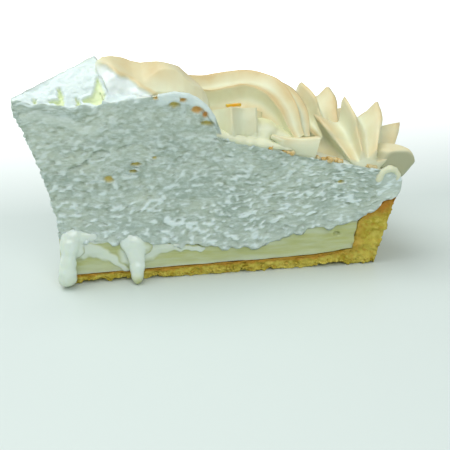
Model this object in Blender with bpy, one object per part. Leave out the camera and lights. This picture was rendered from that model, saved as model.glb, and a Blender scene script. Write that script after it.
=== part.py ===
"""A slice of lemon meringue pie: pastry, lemon filling, tall meringue and piped swirls.

Run with: blender --background --python part.py
Units are metres and +Z is up. The near cut face lies in the XZ plane, the point of the
slice is at -X and the pastry rim at +X. The shapes are worked out round the middle of the
whole pie, and an empty then moves the slice so that the origin is under its base.
"""

import math

import bmesh
import bpy
from mathutils import Matrix, Vector, noise

# Whole slice
WEDGE = math.radians(36)  # a tenth of the pie
PIE_RADIUS = 0.1212
GAP = 0.0003  # left between neighbouring solids
REST_POINT = Vector((0.072, 0.020, 0.0))  # on the flat underside, measured from the pie's middle

# Pastry: (distance from the pie's middle, height) outside and inside, station by station
PASTRY_OUTSIDE = ((0.0, 0.0), (0.092, 0.0), (0.1146, 0.0), (0.1180, 0.0140), (0.1197, 0.0205), (0.1212, 0.0256))
PASTRY_INSIDE = ((0.0, 0.0032), (0.092, 0.0047), (0.1056, 0.0062), (0.1071, 0.0170), (0.1100, 0.0210), (0.1175, 0.0252))
PASTRY_SPAN_STEPS = (20, 5, 4, 3, 3)
PASTRY_THROUGH_STEPS = 3
CRUMB = 0.0009  # how deep the pastry's cut faces are pitted
CRUMB_SIZE = 0.0023
CHIPS = ((0.0270, 0.0060, 0.0015), (0.0985, 0.0060, 0.0016))  # place, half width and height of a missing edge

# Filling
FILLING_END = 0.1091
FILLING_STEPS = 30
FILLING_TOP = ((0.0, 0.0168), (0.020, 0.0150), (0.048, 0.0118), (0.061, 0.0100), (0.082, 0.0172), (0.109, 0.0205))
FILLING_SIDE = ((0.0060, 0.1052), (0.0168, 0.1066), (0.0205, 0.1088))
FILLING_LEVELS = (0.0, 0.37, 0.74, 1.0)  # the third is level with the bend of its side
FILLING_BUMP = 0.012

# Meringue
MERINGUE_TOP = (
    (0.0, 0.0650), (0.030, 0.0625), (0.045, 0.0565), (0.063, 0.0492),
    (0.085, 0.0430), (0.105, 0.0385), (0.124, 0.0340),
)
MERINGUE_SIDE = ((0.0256, 0.1205), (0.0285, 0.1222), (0.0320, 0.1224), (0.0380, 0.1200))
POINT_LEAN = ((0.0, 0.0), (0.024, 0.0005), (0.040, -0.0030), (0.055, -0.0078), (0.060, -0.0100), (0.080, -0.0112))
NOSE_RADIUS = 0.0020  # how blunt the point of the slice is
TORN_RISE = 0.0136  # the torn top climbs by this from the near edge to the far one
TORN_START = -0.012  # distance from the middle at which it starts to climb, which is at the point
TORN_END = 0.0295  # distance from the middle at which the torn top ends
TORN_FADE = 0.010  # distance over which it then falls back to the dome
TORN_RELIEF = 0.0016
TORN_SMOOTH = -0.002  # distance from the middle up to which it has no relief
FOAM_RELIEF = 0.0008
FOAM_BUMP = 0.008
ACROSS_STEPS = 8
UP_STEPS = 9

# Ropes piped through a star nozzle: (x, y, z, radius) along each
CROWN_FLUTES = 8
CROWN_DEPTH = 0.06
CROWN_ROUTE = (
    (0.004, 0.0110, 0.0560, 0.0100),
    (0.016, 0.0140, 0.0608, 0.0150),
    (0.025, 0.0175, 0.0600, 0.0160),
    (0.0345, 0.0135, 0.0567, 0.0165),
    (0.0405, 0.0000, 0.0530, 0.0140),
    (0.038, -0.0160, 0.0480, 0.0120),
)
ROSETTE_FLUTES = 8
ROSETTE_DEPTH = 0.24
ROSETTE_CENTRE = Vector((0.0650, 0.0015))
ROSETTE_REACH = (0.0215, 0.0340, 0.0275)  # towards the rim, the point and the far face
# At each turn in degrees: the rope's radius, and how far its middle is above the meringue
ROSETTE_ROPE = ((12, 0.0045), (35, 0.0094), (60, 0.0124), (90, 0.0130), (130, 0.0130))
ROSETTE_LIFT = ((12, 0.0030), (35, 0.0085), (60, 0.0105), (90, 0.0085), (110, 0.0045), (130, 0.0010))
ROSETTE_STEPS = 5
HEART_ROUTE = (
    (0.0590, 0.0130, 0.0440, 0.0125),
    (0.0590, 0.0122, 0.0500, 0.0126),
    (0.0590, 0.0150, 0.0523, 0.0122),
)
FIN_ROUTE = (
    (0.0745, 0.0020, 0.0500, 0.0008),
    (0.0820, 0.0020, 0.0464, 0.0030),
    (0.0905, 0.0020, 0.0444, 0.0050),
)
LIP_ROUTE = (
    (0.1120, 0.0100, 0.0380, 0.0050),
    (0.1180, 0.0055, 0.0388, 0.0062),
    (0.1225, 0.0030, 0.0378, 0.0062),
    (0.1250, 0.0012, 0.0358, 0.0038),
)
SHELL_FLUTES = 10
SHELL_DEPTH = 0.38
SHELL_PHASES = (math.radians(38), math.radians(47))  # turn the flutes of the near and of the far shell
SHELL_TURN = math.radians(16.5)  # turns the near shell within its pitch along the rim
SHELL_ROUTE = (
    (0.1075, -0.0100, 0.0335, 0.0030),
    (0.1085, 0.0000, 0.0355, 0.0080),
    (0.1098, 0.0100, 0.0370, 0.0150),
    (0.1100, 0.0190, 0.0385, 0.0212),
    (0.1105, 0.0225, 0.0375, 0.0160),
    (0.1080, 0.0290, 0.0360, 0.0070),
)
STAR_ROUTE = (
    (0.0800, 0.0460, 0.0360, 0.0120),
    (0.0800, 0.0460, 0.0430, 0.0115),
    (0.0802, 0.0458, 0.0490, 0.0070),
    (0.0805, 0.0455, 0.0535, 0.0010),
)
POINTS_PER_FLUTE = 4
CREST_ANGLE = math.radians(35)
ROPE_STEPS = 4
STEEP = 0.7  # rise over length past which a rope keeps its twist instead of its upright
MERGE = 0.00001  # points of a rope that are nearer than this become one

# Blocks that the piping is cut by
ROOM_END = 0.150  # past the rim
ROOM_HEIGHTS = (-0.005, 0.095)
ROOM_STEPS = 20
UNDER_SPAN = (-0.1, 1.1)  # shares of the way across at which the one under the piping ends
UNDER_BESIDE = 0.010  # how far it stands out there beyond each cut face
UNDER_BOTTOM = -0.010

# Meringue that has run down over the cut face, and a curl of lemon zest
RUNS = (
    (
        (0.0050, 0.0010, 0.0210, 0.0030),
        (0.0042, -0.0033, 0.0178, 0.0028),
        (0.0036, -0.0036, 0.0120, 0.0029),
        (0.0036, -0.0037, 0.0055, 0.0031),
        (0.0040, -0.0038, 0.0018, 0.0023),
        (0.0040, -0.0038, 0.0004, 0.0008),
    ),
    (
        (0.0275, 0.0010, 0.0200, 0.0034),
        (0.0272, -0.0033, 0.0160, 0.0028),
        (0.0270, -0.0034, 0.0110, 0.0027),
        (0.0268, -0.0032, 0.0055, 0.0023),
        (0.0266, -0.0033, 0.0018, 0.0018),
        (0.0266, -0.0033, 0.0004, 0.0007),
    ),
)
RUN_SIDES = 10
ZEST_SIZE = (0.0050, 0.0013, 0.0014)
ZEST_PLACE = Vector((0.0617, 0.0062, 0.0581))
ZEST_TURN = math.radians(8)

COLOURS = {
    "pastry": (0.72, 0.52, 0.13),
    "filling": (0.62, 0.60, 0.28),
    "foam": (0.80, 0.84, 0.80),
    "piping": (0.86, 0.78, 0.62),
}
ROUGHNESS = {"pastry": 0.8, "filling": 0.25, "foam": 0.75, "piping": 0.5}


def clear_scene():
    """Remove every object that is in the scene."""
    for thing in list(bpy.data.objects):
        bpy.data.objects.remove(thing, do_unlink=True)


def new_collection(name):
    collection = bpy.data.collections.new(name)
    bpy.context.scene.collection.children.link(collection)
    return collection


def finish_material(name):
    """A plain material in one of the slice's finishes."""
    material = bpy.data.materials.new(name)
    material.use_nodes = True
    shader = material.node_tree.nodes["Principled BSDF"]
    shader.inputs["Base Color"].default_value = (*COLOURS[name], 1.0)
    shader.inputs["Roughness"].default_value = ROUGHNESS[name]
    shader.inputs["Metallic"].default_value = 0.0
    return material


def between(points, x):
    """The second value of a line of (first, second) points where the first one is x."""
    for (x0, y0), (x1, y1) in zip(points, points[1:]):
        if x <= x1:
            return y0 + (y1 - y0) * max(0.0, (x - x0) / (x1 - x0))
    return points[-1][1]


def even(first, last, steps):
    """The values from first to last in equal steps, with both ends."""
    return [first + (last - first) * step / steps for step in range(steps + 1)]


def nose(u, z):
    """A point of the slice's rounded tip, u of the way round from the near face to the far one."""
    centre = Vector((between(POINT_LEAN, z) + NOSE_RADIUS, NOSE_RADIUS))
    turn = math.radians(270) - u * (math.pi - WEDGE)
    return centre + NOSE_RADIUS * Vector((math.cos(turn), math.sin(turn)))


def wedge_point(r, u, z):
    """The point at distance r from the pie's middle and height z, u of the way across the slice."""
    rim = PIE_RADIUS * Vector((math.cos(u * WEDGE), math.sin(u * WEDGE)))
    flat = nose(u, z).lerp(rim, r / PIE_RADIUS)
    return Vector((flat.x, flat.y, z))


def outwards(u):
    """The direction away from the slice on its near face, on its far face, or nowhere between."""
    if u <= 0.0:
        return Vector((0.0, -1.0, 0.0))
    if u >= 1.0:
        return Vector((-math.sin(WEDGE), math.cos(WEDGE), 0.0))
    return Vector((0.0, 0.0, 0.0))


def ruffle(point, size):
    """A number from -1 to 1 that varies smoothly over bumps of that size."""
    return noise.noise(point / size)


def cut_block(name, along, across, up, place, collection):
    """A cube cut at three lists of values, with each point then moved to its place."""
    solid = bmesh.new()
    bmesh.ops.create_cube(solid, size=1.0)
    for axis, values in enumerate((along, across, up)):
        low, high = values[0], values[-1]
        for vertex in solid.verts:
            vertex.co[axis] = low if vertex.co[axis] < 0 else high
        normal = Vector((0.0, 0.0, 0.0))
        normal[axis] = 1.0
        for value in values[1:-1]:
            everything = solid.verts[:] + solid.edges[:] + solid.faces[:]
            bmesh.ops.bisect_plane(solid, geom=everything, plane_co=normal * value, plane_no=normal)
    for vertex in solid.verts:
        vertex.co = place(*(snapped(value, values) for value, values in zip(vertex.co, (along, across, up))))
    bmesh.ops.triangulate(solid, faces=solid.faces[:])
    bmesh.ops.recalc_face_normals(solid, faces=solid.faces[:])
    return mesh_object(name, solid, collection)


def snapped(value, values):
    """The one of the values that is nearest."""
    return min(values, key=lambda other: abs(other - value))


def mesh_object(name, solid, collection):
    """The object of a finished bmesh."""
    mesh = bpy.data.meshes.new(name)
    solid.to_mesh(mesh)
    solid.free()
    thing = bpy.data.objects.new(name, mesh)
    collection.objects.link(thing)
    return thing


def star_outline(name, flutes, depth, collection, phase=0.0):
    """The opening of a piping nozzle, one metre to its crests: sharp crests and round valleys."""
    curve = bpy.data.curves.new(name, "CURVE")
    curve.dimensions = "2D"
    count = flutes * POINTS_PER_FLUTE if flutes else RUN_SIDES
    spline = curve.splines.new("POLY")
    spline.points.add(count - 1)
    for index, point in enumerate(spline.points):
        turn = math.tau * index / count
        reach = 1.0 - depth * abs(math.sin(flutes * turn / 2))
        point.co = (reach * math.cos(turn + phase), reach * math.sin(turn + phase), 0.0, 1.0)
    spline.use_cyclic_u = True
    outline = bpy.data.objects.new(name, curve)
    collection.objects.link(outline)
    return outline


def rope(name, route, outline, collection, grow=0.0):
    """What comes out of the nozzle along a route, as a closed mesh."""
    curve = bpy.data.curves.new(name, "CURVE")
    curve.dimensions = "3D"
    curve.resolution_u = ROPE_STEPS
    rise = abs(route[-1][2] - route[0][2])
    steep = rise > STEEP * math.dist(route[0][:3], route[-1][:3])
    curve.twist_mode = "MINIMUM" if steep else "Z_UP"
    curve.bevel_mode = "OBJECT"
    curve.bevel_object = outline
    curve.use_fill_caps = True
    spline = curve.splines.new("BEZIER")
    spline.bezier_points.add(len(route) - 1)
    for point, (x, y, z, radius) in zip(spline.bezier_points, route):
        point.co = (x, y, z)
        point.radius = radius + grow
        point.handle_left_type = "AUTO"
        point.handle_right_type = "AUTO"
    drawn = bpy.data.objects.new(name + "_route", curve)
    collection.objects.link(drawn)
    graph = bpy.context.evaluated_depsgraph_get()
    swept = bpy.data.meshes.new_from_object(drawn.evaluated_get(graph))
    bpy.data.objects.remove(drawn, do_unlink=True)
    solid = bmesh.new()
    solid.from_mesh(swept)
    bmesh.ops.remove_doubles(solid, verts=solid.verts[:], dist=MERGE)
    bmesh.ops.triangulate(solid, faces=solid.faces[:])
    bmesh.ops.recalc_face_normals(solid, faces=solid.faces[:])
    bpy.data.meshes.remove(swept)
    piped = mesh_object(name, solid, collection)
    piped.data.shade_smooth()
    piped.data.set_sharp_from_angle(angle=CREST_ANGLE)
    return piped


def trim(thing, operation, cutter):
    """Keep what is inside the cutter, or what is outside it."""
    modifier = thing.modifiers.new(cutter.name, "BOOLEAN")
    modifier.operation = operation
    modifier.solver = "MANIFOLD"
    modifier.object = cutter


def fuse(thing, extras, name):
    """Join small shapes to a piece with one union, applied."""
    modifier = thing.modifiers.new(name, "BOOLEAN")
    modifier.operation = "UNION"
    modifier.operand_type = "COLLECTION"
    modifier.collection = extras
    graph = bpy.context.evaluated_depsgraph_get()
    joined = bpy.data.meshes.new_from_object(thing.evaluated_get(graph))
    thing.modifiers.clear()
    thing.data = joined
    for extra in list(extras.objects):
        bpy.data.objects.remove(extra, do_unlink=True)
    bpy.data.collections.remove(extras)


def make_helper(thing):
    """Keep a cutter out of the finished slice."""
    thing.hide_render = True
    thing.display_type = "WIRE"
    return thing


def pastry_point(station, u, inwards):
    """A point of the pastry: the station along its section, across the slice, and from outside to inside."""
    index = min(int(station), len(PASTRY_OUTSIDE) - 2)
    share = station - index
    outside = Vector(PASTRY_OUTSIDE[index]).lerp(Vector(PASTRY_OUTSIDE[index + 1]), share)
    inside = Vector(PASTRY_INSIDE[index]).lerp(Vector(PASTRY_INSIDE[index + 1]), share)
    r, z = outside.lerp(inside, inwards)
    point = wedge_point(r, u, z)
    if u <= 0.0 or u >= 1.0:
        pit = CRUMB * (0.55 + 0.45 * ruffle(point, CRUMB_SIZE))
        point -= outwards(u) * pit
    if u <= 0.0 and inwards <= 0.0 and z < GAP:
        for place, half_width, height in CHIPS:
            point.z += height * max(0.0, 1.0 - abs(point.x - place) / half_width)
    return point


def make_pastry(collection):
    """The shortcrust base and the wall that leans out to the rim."""
    along = [0.0]
    for span, steps in enumerate(PASTRY_SPAN_STEPS):
        along += even(span, span + 1, steps)[1:]
    through = even(0, 1, PASTRY_THROUGH_STEPS)
    return cut_block("pastry_crust", along, even(0, 1, ACROSS_STEPS), through, pastry_point, collection)


def filling_top(r):
    """Height of the filling's surface."""
    return between(FILLING_TOP, r)


def pastry_floor(r):
    """Height of the pastry's inner surface and of its rim, under the filling and the meringue."""
    return between(PASTRY_INSIDE + PASTRY_OUTSIDE[-1:], r)


def filling_point(r, u, t):
    """A point of the filling: distance on its surface, across the slice, and up from the pastry."""
    low = min(pastry_floor(r) + GAP, PASTRY_INSIDE[2][1] + GAP)
    z = low + (filling_top(r) - low) * t
    narrower = between(FILLING_SIDE, z) / between(FILLING_SIDE, filling_top(r))
    point = wedge_point(r * narrower, u, z)
    if 0.0 < t < 1.0:
        point -= outwards(u) * FOAM_RELIEF * (0.5 + 0.5 * ruffle(point, FILLING_BUMP))
    return point


def make_filling(collection):
    """The lemon filling between the pastry and the meringue."""
    radii = even(0, FILLING_END, FILLING_STEPS)
    return cut_block("lemon_filling", radii, even(0, 1, ACROSS_STEPS), FILLING_LEVELS, filling_point, collection)


def meringue_radii():
    """Distances at which the meringue's underside has points: the filling's, then the pastry's."""
    return even(0, FILLING_END, FILLING_STEPS) + [PASTRY_INSIDE[4][0], PASTRY_INSIDE[5][0], MERINGUE_SIDE[0][1]]


def meringue_floor(r):
    """Height of the meringue's underside, on the filling and then on the pastry's slope."""
    return (filling_top(r) if r <= FILLING_END else pastry_floor(r)) + GAP


def meringue_top(r, u):
    """Height of the meringue under its piping: domed, and torn up to a slope at the point."""
    torn = max(0.0, min(1.0, 1.0 - (r - TORN_END) / TORN_FADE))
    climb = (r - TORN_START) / (TORN_END - TORN_START)
    return between(MERINGUE_TOP, r) + torn * TORN_RISE * u * climb


def meringue_point(r, u, t):
    """A point of the meringue: distance on its underside, across the slice, and up."""
    low = meringue_floor(r)
    z = low + (meringue_top(r, u) - low) * t
    end = MERINGUE_SIDE[0][1]
    side = between(MERINGUE_SIDE, z) / end
    point = wedge_point(r * side, u, z)
    if t >= 1.0 and r < TORN_END:
        share = min(1.0, (r - TORN_SMOOTH) / TORN_END)
        point.z += TORN_RELIEF * ruffle(point, FOAM_BUMP) * share
    elif 0.0 < t < 1.0:
        point += outwards(u) * FOAM_RELIEF * ruffle(point, FOAM_BUMP)
    return point


def make_meringue(collection):
    """The tall meringue, with what has run down the cut face fused to it."""
    body = cut_block(
        "meringue", meringue_radii(), even(0, 1, ACROSS_STEPS), even(0, 1, UP_STEPS), meringue_point, collection
    )
    extras = new_collection("runs")
    round_outline = star_outline("round_opening", 0, 0.0, extras)
    for number, route in enumerate(RUNS, 1):
        rope(f"run_{number}", route, round_outline, extras)
    bpy.data.objects.remove(round_outline, do_unlink=True)
    fuse(body, extras, "join_runs")
    return body


def underside_point(r, u, t):
    """A point of the block that the piping is cut by: the meringue with room round it."""
    end = MERINGUE_SIDE[0][1]
    inside = min(r, end)
    point = meringue_point(inside, min(max(u, 0.0), 1.0), 1.0)
    point.z += GAP
    point += (r - inside) * Vector((math.cos(WEDGE / 2), math.sin(WEDGE / 2), 0.0))
    if u < 0.0 or u > 1.0:
        point += UNDER_BESIDE * outwards(u)
    if t <= 0.0:
        point.z = UNDER_BOTTOM
    return point


def make_cutters(collection):
    """The blocks that shape the piping: the room of the slice, and the meringue under it."""
    heights = even(*ROOM_HEIGHTS, ROOM_STEPS)
    across = even(0, 1, ACROSS_STEPS)
    room = cut_block("slice_room", [0.0, ROOM_END], across, heights, wedge_point, collection)
    wider = [UNDER_SPAN[0]] + across + [UNDER_SPAN[1]]
    under = cut_block("under_piping", meringue_radii() + [ROOM_END], wider, [0.0, 1.0], underside_point, collection)
    return make_helper(room), make_helper(under)


def rosette_route():
    """An arc round the rosette's middle that follows the domed meringue."""
    route = []
    for turn in even(ROSETTE_ROPE[-1][0], ROSETTE_ROPE[0][0], ROSETTE_STEPS):
        to_rim, to_point, to_far = ROSETTE_REACH
        x = ROSETTE_CENTRE.x + (to_rim if turn < 90 else to_point) * math.cos(math.radians(turn))
        y = ROSETTE_CENTRE.y + to_far * math.sin(math.radians(turn))
        z = between(MERINGUE_TOP, math.hypot(x, y)) + between(ROSETTE_LIFT, turn)
        route.append((x, y, z, between(ROSETTE_ROPE, turn)))
    return route


def turned(route, turn):
    """The same route further round the pie."""
    moved = []
    for x, y, z, radius in route:
        place = Matrix.Rotation(turn, 3, "Z") @ Vector((x, y, z))
        moved.append((*place, radius))
    return moved


def add_zest(heart):
    """A sliver of lemon zest, half sunk in the top of the rosette's heart."""
    sliver = bmesh.new()
    bmesh.ops.create_cube(sliver, size=1.0)
    bmesh.ops.scale(sliver, vec=ZEST_SIZE, verts=sliver.verts[:])
    bmesh.ops.rotate(sliver, matrix=Matrix.Rotation(ZEST_TURN, 3, "Z"), verts=sliver.verts[:])
    bmesh.ops.translate(sliver, vec=ZEST_PLACE, verts=sliver.verts[:])
    extras = new_collection("zest")
    mesh_object("zest_sliver", sliver, extras)
    fuse(heart, extras, "join_zest")


def make_piping(collection, helpers):
    """The piped ropes, each cut by the slice, by the meringue under it and by the ropes before it."""
    room, under = make_cutters(helpers)
    crown_star = star_outline("crown_star", CROWN_FLUTES, CROWN_DEPTH, helpers)
    rosette_star = star_outline("rosette_star", ROSETTE_FLUTES, ROSETTE_DEPTH, helpers)
    shell_near_star = star_outline("shell_near_star", SHELL_FLUTES, SHELL_DEPTH, helpers, SHELL_PHASES[0])
    shell_far_star = star_outline("shell_far_star", SHELL_FLUTES, SHELL_DEPTH, helpers, SHELL_PHASES[1])
    plan = (
        ("piped_crown", CROWN_ROUTE, crown_star),
        ("rosette_fin", FIN_ROUTE, crown_star),
        ("piped_rosette", rosette_route(), rosette_star),
        ("rosette_heart", HEART_ROUTE, rosette_star),
        ("piped_star_far", STAR_ROUTE, rosette_star),
        ("piped_shell_near", SHELL_ROUTE, shell_near_star),
        ("piped_lip", LIP_ROUTE, crown_star),
        ("piped_shell_far", turned(SHELL_ROUTE, SHELL_TURN), shell_far_star),
    )
    pieces = {name: rope(name, route, outline, collection) for name, route, outline in plan}
    add_zest(pieces["rosette_heart"])
    before = []
    for name, route, outline in plan:
        piece = pieces[name]
        trim(piece, "INTERSECT", room)
        trim(piece, "DIFFERENCE", under)
        for cutter in before:
            trim(piece, "DIFFERENCE", cutter)
        before.append(make_helper(rope(name + "_room", route, outline, helpers, GAP)))
    for outline in (crown_star, rosette_star, shell_near_star, shell_far_star):
        make_helper(outline)
    return pieces.values()


def main():
    clear_scene()
    parts = new_collection("lemon_meringue_slice")
    helpers = new_collection("cutters")
    finishes = {name: finish_material(name) for name in COLOURS}
    pieces = [(make_pastry(parts), "pastry"), (make_filling(parts), "filling"), (make_meringue(parts), "foam")]
    pieces += [(piece, "piping") for piece in make_piping(parts, helpers)]
    slice_frame = bpy.data.objects.new("slice_frame", None)
    parts.objects.link(slice_frame)
    slice_frame.location = -REST_POINT
    for piece, finish in pieces:
        piece.data.materials.append(finishes[finish])
        piece.parent = slice_frame
    for helper in helpers.objects:
        helper.parent = slice_frame


if __name__ == "__main__":
    main()
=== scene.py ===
"""A dressed slice of lemon meringue pie on a pale floor.

Lengths are metres. The shapes are worked out round the middle of the whole pie, as the solids
are, and each finished mesh is then moved so that the origin is under the slice's base. The near
cut face lies in the XZ plane, the point of the slice is at -X and the pastry rim at +X.
"""

import math

import bmesh
import bpy
import numpy as np
from mathutils import Matrix, Vector, noise


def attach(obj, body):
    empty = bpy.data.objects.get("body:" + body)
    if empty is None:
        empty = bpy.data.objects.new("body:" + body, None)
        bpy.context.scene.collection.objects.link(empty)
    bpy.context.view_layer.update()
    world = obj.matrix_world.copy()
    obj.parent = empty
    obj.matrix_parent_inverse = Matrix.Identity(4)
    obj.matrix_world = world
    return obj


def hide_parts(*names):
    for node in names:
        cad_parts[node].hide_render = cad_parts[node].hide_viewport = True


bl_info = {
    "name": "Lemon meringue slice",
    "version": (1, 0, 0),
    "blender": (4, 5, 0),
    "location": "3D View > Sidebar > Pie",
    "description": "Dresses a slice of lemon meringue pie and sets it on a pale floor",
    "category": "Object",
}

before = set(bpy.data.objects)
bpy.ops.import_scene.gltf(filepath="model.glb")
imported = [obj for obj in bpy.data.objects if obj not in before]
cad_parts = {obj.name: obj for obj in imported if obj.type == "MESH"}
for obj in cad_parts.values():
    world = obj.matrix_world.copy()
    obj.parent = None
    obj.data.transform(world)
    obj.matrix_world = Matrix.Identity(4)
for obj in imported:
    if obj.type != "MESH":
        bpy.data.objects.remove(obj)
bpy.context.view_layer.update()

# Whole slice
WEDGE = math.radians(36)
PIE_RADIUS = 0.1212
REST_POINT = Vector((0.072, 0.020, 0.0))  # place under the base that becomes the origin
GAP = 0.0003  # left between pieces that touch
MM = 0.001

# Pastry: (distance from the pie's middle, height), station by station
BASE_THICKNESS = 0.0062  # of the base, where the wall turns up
PASTRY_OUTSIDE = (
    (0.0, 0.0), (0.092, 0.0), (0.1146, 0.0), (0.1180, 0.0140), (0.1197, 0.0205), (0.1212, 0.0256),
)
PASTRY_INSIDE = (
    (0.0, 0.0032), (0.092, 0.0047), (0.1056, BASE_THICKNESS), (0.1071, 0.0170), (0.1100, 0.0210),
    (0.1175, 0.0252),
)
PASTRY_SPAN_STEPS = (190, 48, 32, 16, 16)
PASTRY_STEPS = (84, 14)  # across the slice, and through the pastry
WALL_START = 2  # station where the base turns up into the wall
CHIPS = (  # pieces broken off the lower near edge: (x, half width, height)
    (0.0115, 0.0052, 0.0022), (0.0212, 0.0040, 0.0014), (0.0330, 0.0030, 0.0010), (0.0985, 0.0060, 0.0016),
)

# Filling
FILLING_END = 0.1091
FILLING_STEPS = (330, 40, 42)
FILLING_TOP = (  # (distance from the pie's middle, height)
    (0.0, 0.0168), (0.020, 0.0150), (0.048, 0.0118), (0.061, 0.0100), (0.082, 0.0172), (0.109, 0.0205),
)
FILLING_SIDE = ((0.0060, 0.1052), (0.0168, 0.1066), (0.0205, 0.1088))  # (height, distance)
FILLING_PALE_ABOVE = ((0.0, 0.1), (0.055, 0.2), (0.072, 0.60), (0.109, 0.5))  # (distance, how pale)
FILLING_PALE_BELOW = ((0.0, 1.0), (0.070, 0.8), (0.090, 0.4))
PORE = (0.0994, 0.0128, 0.0013, 0.0008)  # small hole in the near face: x, z, half width, half height
PORE_DEPTH = 0.0012
SMEARS = (  # meringue smeared over the near face: (x, z, half width) along each smear
    ((0.0045, 0.0128, 0.0046), (0.0095, 0.0128, 0.0038), (0.0145, 0.0112, 0.0028), (0.0182, 0.0090, 0.0019),
     (0.0204, 0.0062, 0.0012), (0.0228, 0.0038, 0.0012)),
    ((0.0250, 0.0100, 0.0056), (0.0300, 0.0108, 0.0044), (0.0345, 0.0118, 0.0030), (0.0400, 0.0118, 0.0018),
     (0.0500, 0.0102, 0.0010)),
    ((0.0060, 0.0168, 0.0016), (0.0200, 0.0156, 0.0012), (0.0240, 0.0150, 0.0016)),
)
SMEAR_HEIGHT = 0.0005

# Meringue under the piping
MERINGUE_END = 0.1205
MERINGUE_STEPS = (252, 52, 120)
MERINGUE_TOP = (  # (distance from the pie's middle, height)
    (0.0, 0.0650), (0.030, 0.0625), (0.045, 0.0565), (0.063, 0.0492),
    (0.085, 0.0430), (0.105, 0.0385), (0.124, 0.0340),
)
MERINGUE_SIDE = (  # (height, distance)
    (0.0256, 0.1205), (0.0285, 0.1222), (0.0320, 0.1224), (0.0380, 0.1200),
)
TOP_LEAN = -0.0100  # x of the point at the height of the near cut edge
POINT_LEAN = (  # (height, x of the point)
    (0.0, 0.0), (0.024, 0.0005), (0.040, -0.0030), (0.055, -0.0078), (0.060, TOP_LEAN), (0.080, -0.0112),
)
NOSE_RADIUS = 0.0020
TORN_RISE = 0.0132
TORN_START = -0.002
TORN_END = 0.0295
TORN_FADE = 0.010
TORN_REACH = 0.006  # how far past its end the torn top stays rough
TORN_BULGE = 0.0026
NEAR_EDGE = (  # (x, z) of the near cut edge at the end of the crown, where that was sliced through
    (0.0150, 0.0000), (0.0170, 0.0640), (0.0205, 0.0638), (0.0270, 0.0645), (0.0334, 0.0652),
    (0.0370, 0.0658), (0.0405, 0.0663), (0.0450, 0.0656), (0.0480, 0.0641), (0.0510, 0.0614),
    (0.0530, 0.0578), (0.0540, 0.0530), (0.0545, 0.0000),
)
HOLES = (  # (x, z, half width, half height, tint): bubbles cut open, 0 pale yellow to 1 brown
    (0.0413, 0.0625, 0.0016, 0.0009, 0.15), (0.0441, 0.0640, 0.0010, 0.0006, 0.75),
    (0.0487, 0.0606, 0.0017, 0.0011, 0.80), (0.0514, 0.0590, 0.0010, 0.0009, 1.00),
    (0.0352, 0.0650, 0.0007, 0.0006, 0.60), (0.0187, 0.0381, 0.0013, 0.0010, 0.20),
    (0.0279, 0.0429, 0.0016, 0.0005, 0.15), (0.0268, 0.0405, 0.0013, 0.0005, 0.10),
    (0.0341, 0.0448, 0.0007, 0.0004, 0.10), (0.0520, 0.0560, 0.0020, 0.0007, 0.12),
    (0.0994, 0.0330, 0.0009, 0.0005, 0.10),
)
HOLE_DEPTH = 0.0011
HOLE_LIP = 0.0004
FOLDS = (  # curved folds on the near face: (x, z) along each
    ((0.0060, 0.0420), (0.0100, 0.0432), (0.0126, 0.0452), (0.0140, 0.0470), (0.0165, 0.0480),
     (0.0190, 0.0472)),
    ((0.0222, 0.0480), (0.0250, 0.0492), (0.0285, 0.0500)),
    ((0.0090, 0.0375), (0.0120, 0.0368), (0.0150, 0.0372)),
)
FOLD_WIDTH = 0.0005
FOLD_DEPTH = 0.0010
FILM = (  # smooth film on the near face: (x, z) along it
    (-0.0078, 0.0600), (-0.0020, 0.0600), (0.0030, 0.0585), (0.0080, 0.0572), (0.0110, 0.0550),
    (0.0152, 0.0552),
)
OVERLAP = (  # (x, how far the meringue hangs over the filling on the near face)
    (0.0600, 0.0), (0.0660, 0.0012), (0.0720, 0.0036), (0.0800, 0.0034), (0.0880, 0.0026), (0.1020, 0.0032),
    (0.1075, 0.0024), (0.1110, 0.0),
)
CREVICES = (  # openings in the torn top: (x, y, half width) along each
    ((0.0044, 0.0060, 0.0003), (0.0048, 0.0032, 0.0007), (0.0053, 0.0010, 0.0012)),
    ((0.0101, 0.0022, 0.0003), (0.0106, 0.0004, 0.0009)),
    ((0.0168, 0.0086, 0.0004), (0.0174, 0.0050, 0.0013), (0.0170, 0.0022, 0.0026)),
    ((0.0124, 0.0013, 0.0004), (0.0150, 0.0018, 0.0009)),
    ((-0.0036, 0.0024, 0.0003), (-0.0030, 0.0012, 0.0006)),
    ((0.0013, 0.0016, 0.0003), (0.0040, 0.0010, 0.0006)),
)
CREVICE_DEPTH = 0.0016
FOAM_BUSY = (  # (height, share of the relief that the cut foam has there)
    (0.015, 1.25), (0.030, 1.2), (0.045, 1.0), (0.056, 0.75), (0.066, 0.5),
)
FOAM_FLECKS_AND_HIGHLIGHTS = (  # (height, how white the tufts are there), the white partly the foam's own and partly painted highlight
    (0.012, 1.0), (0.024, 1.0), (0.036, 0.78), (0.048, 0.62), (0.062, 0.50),
)

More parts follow.
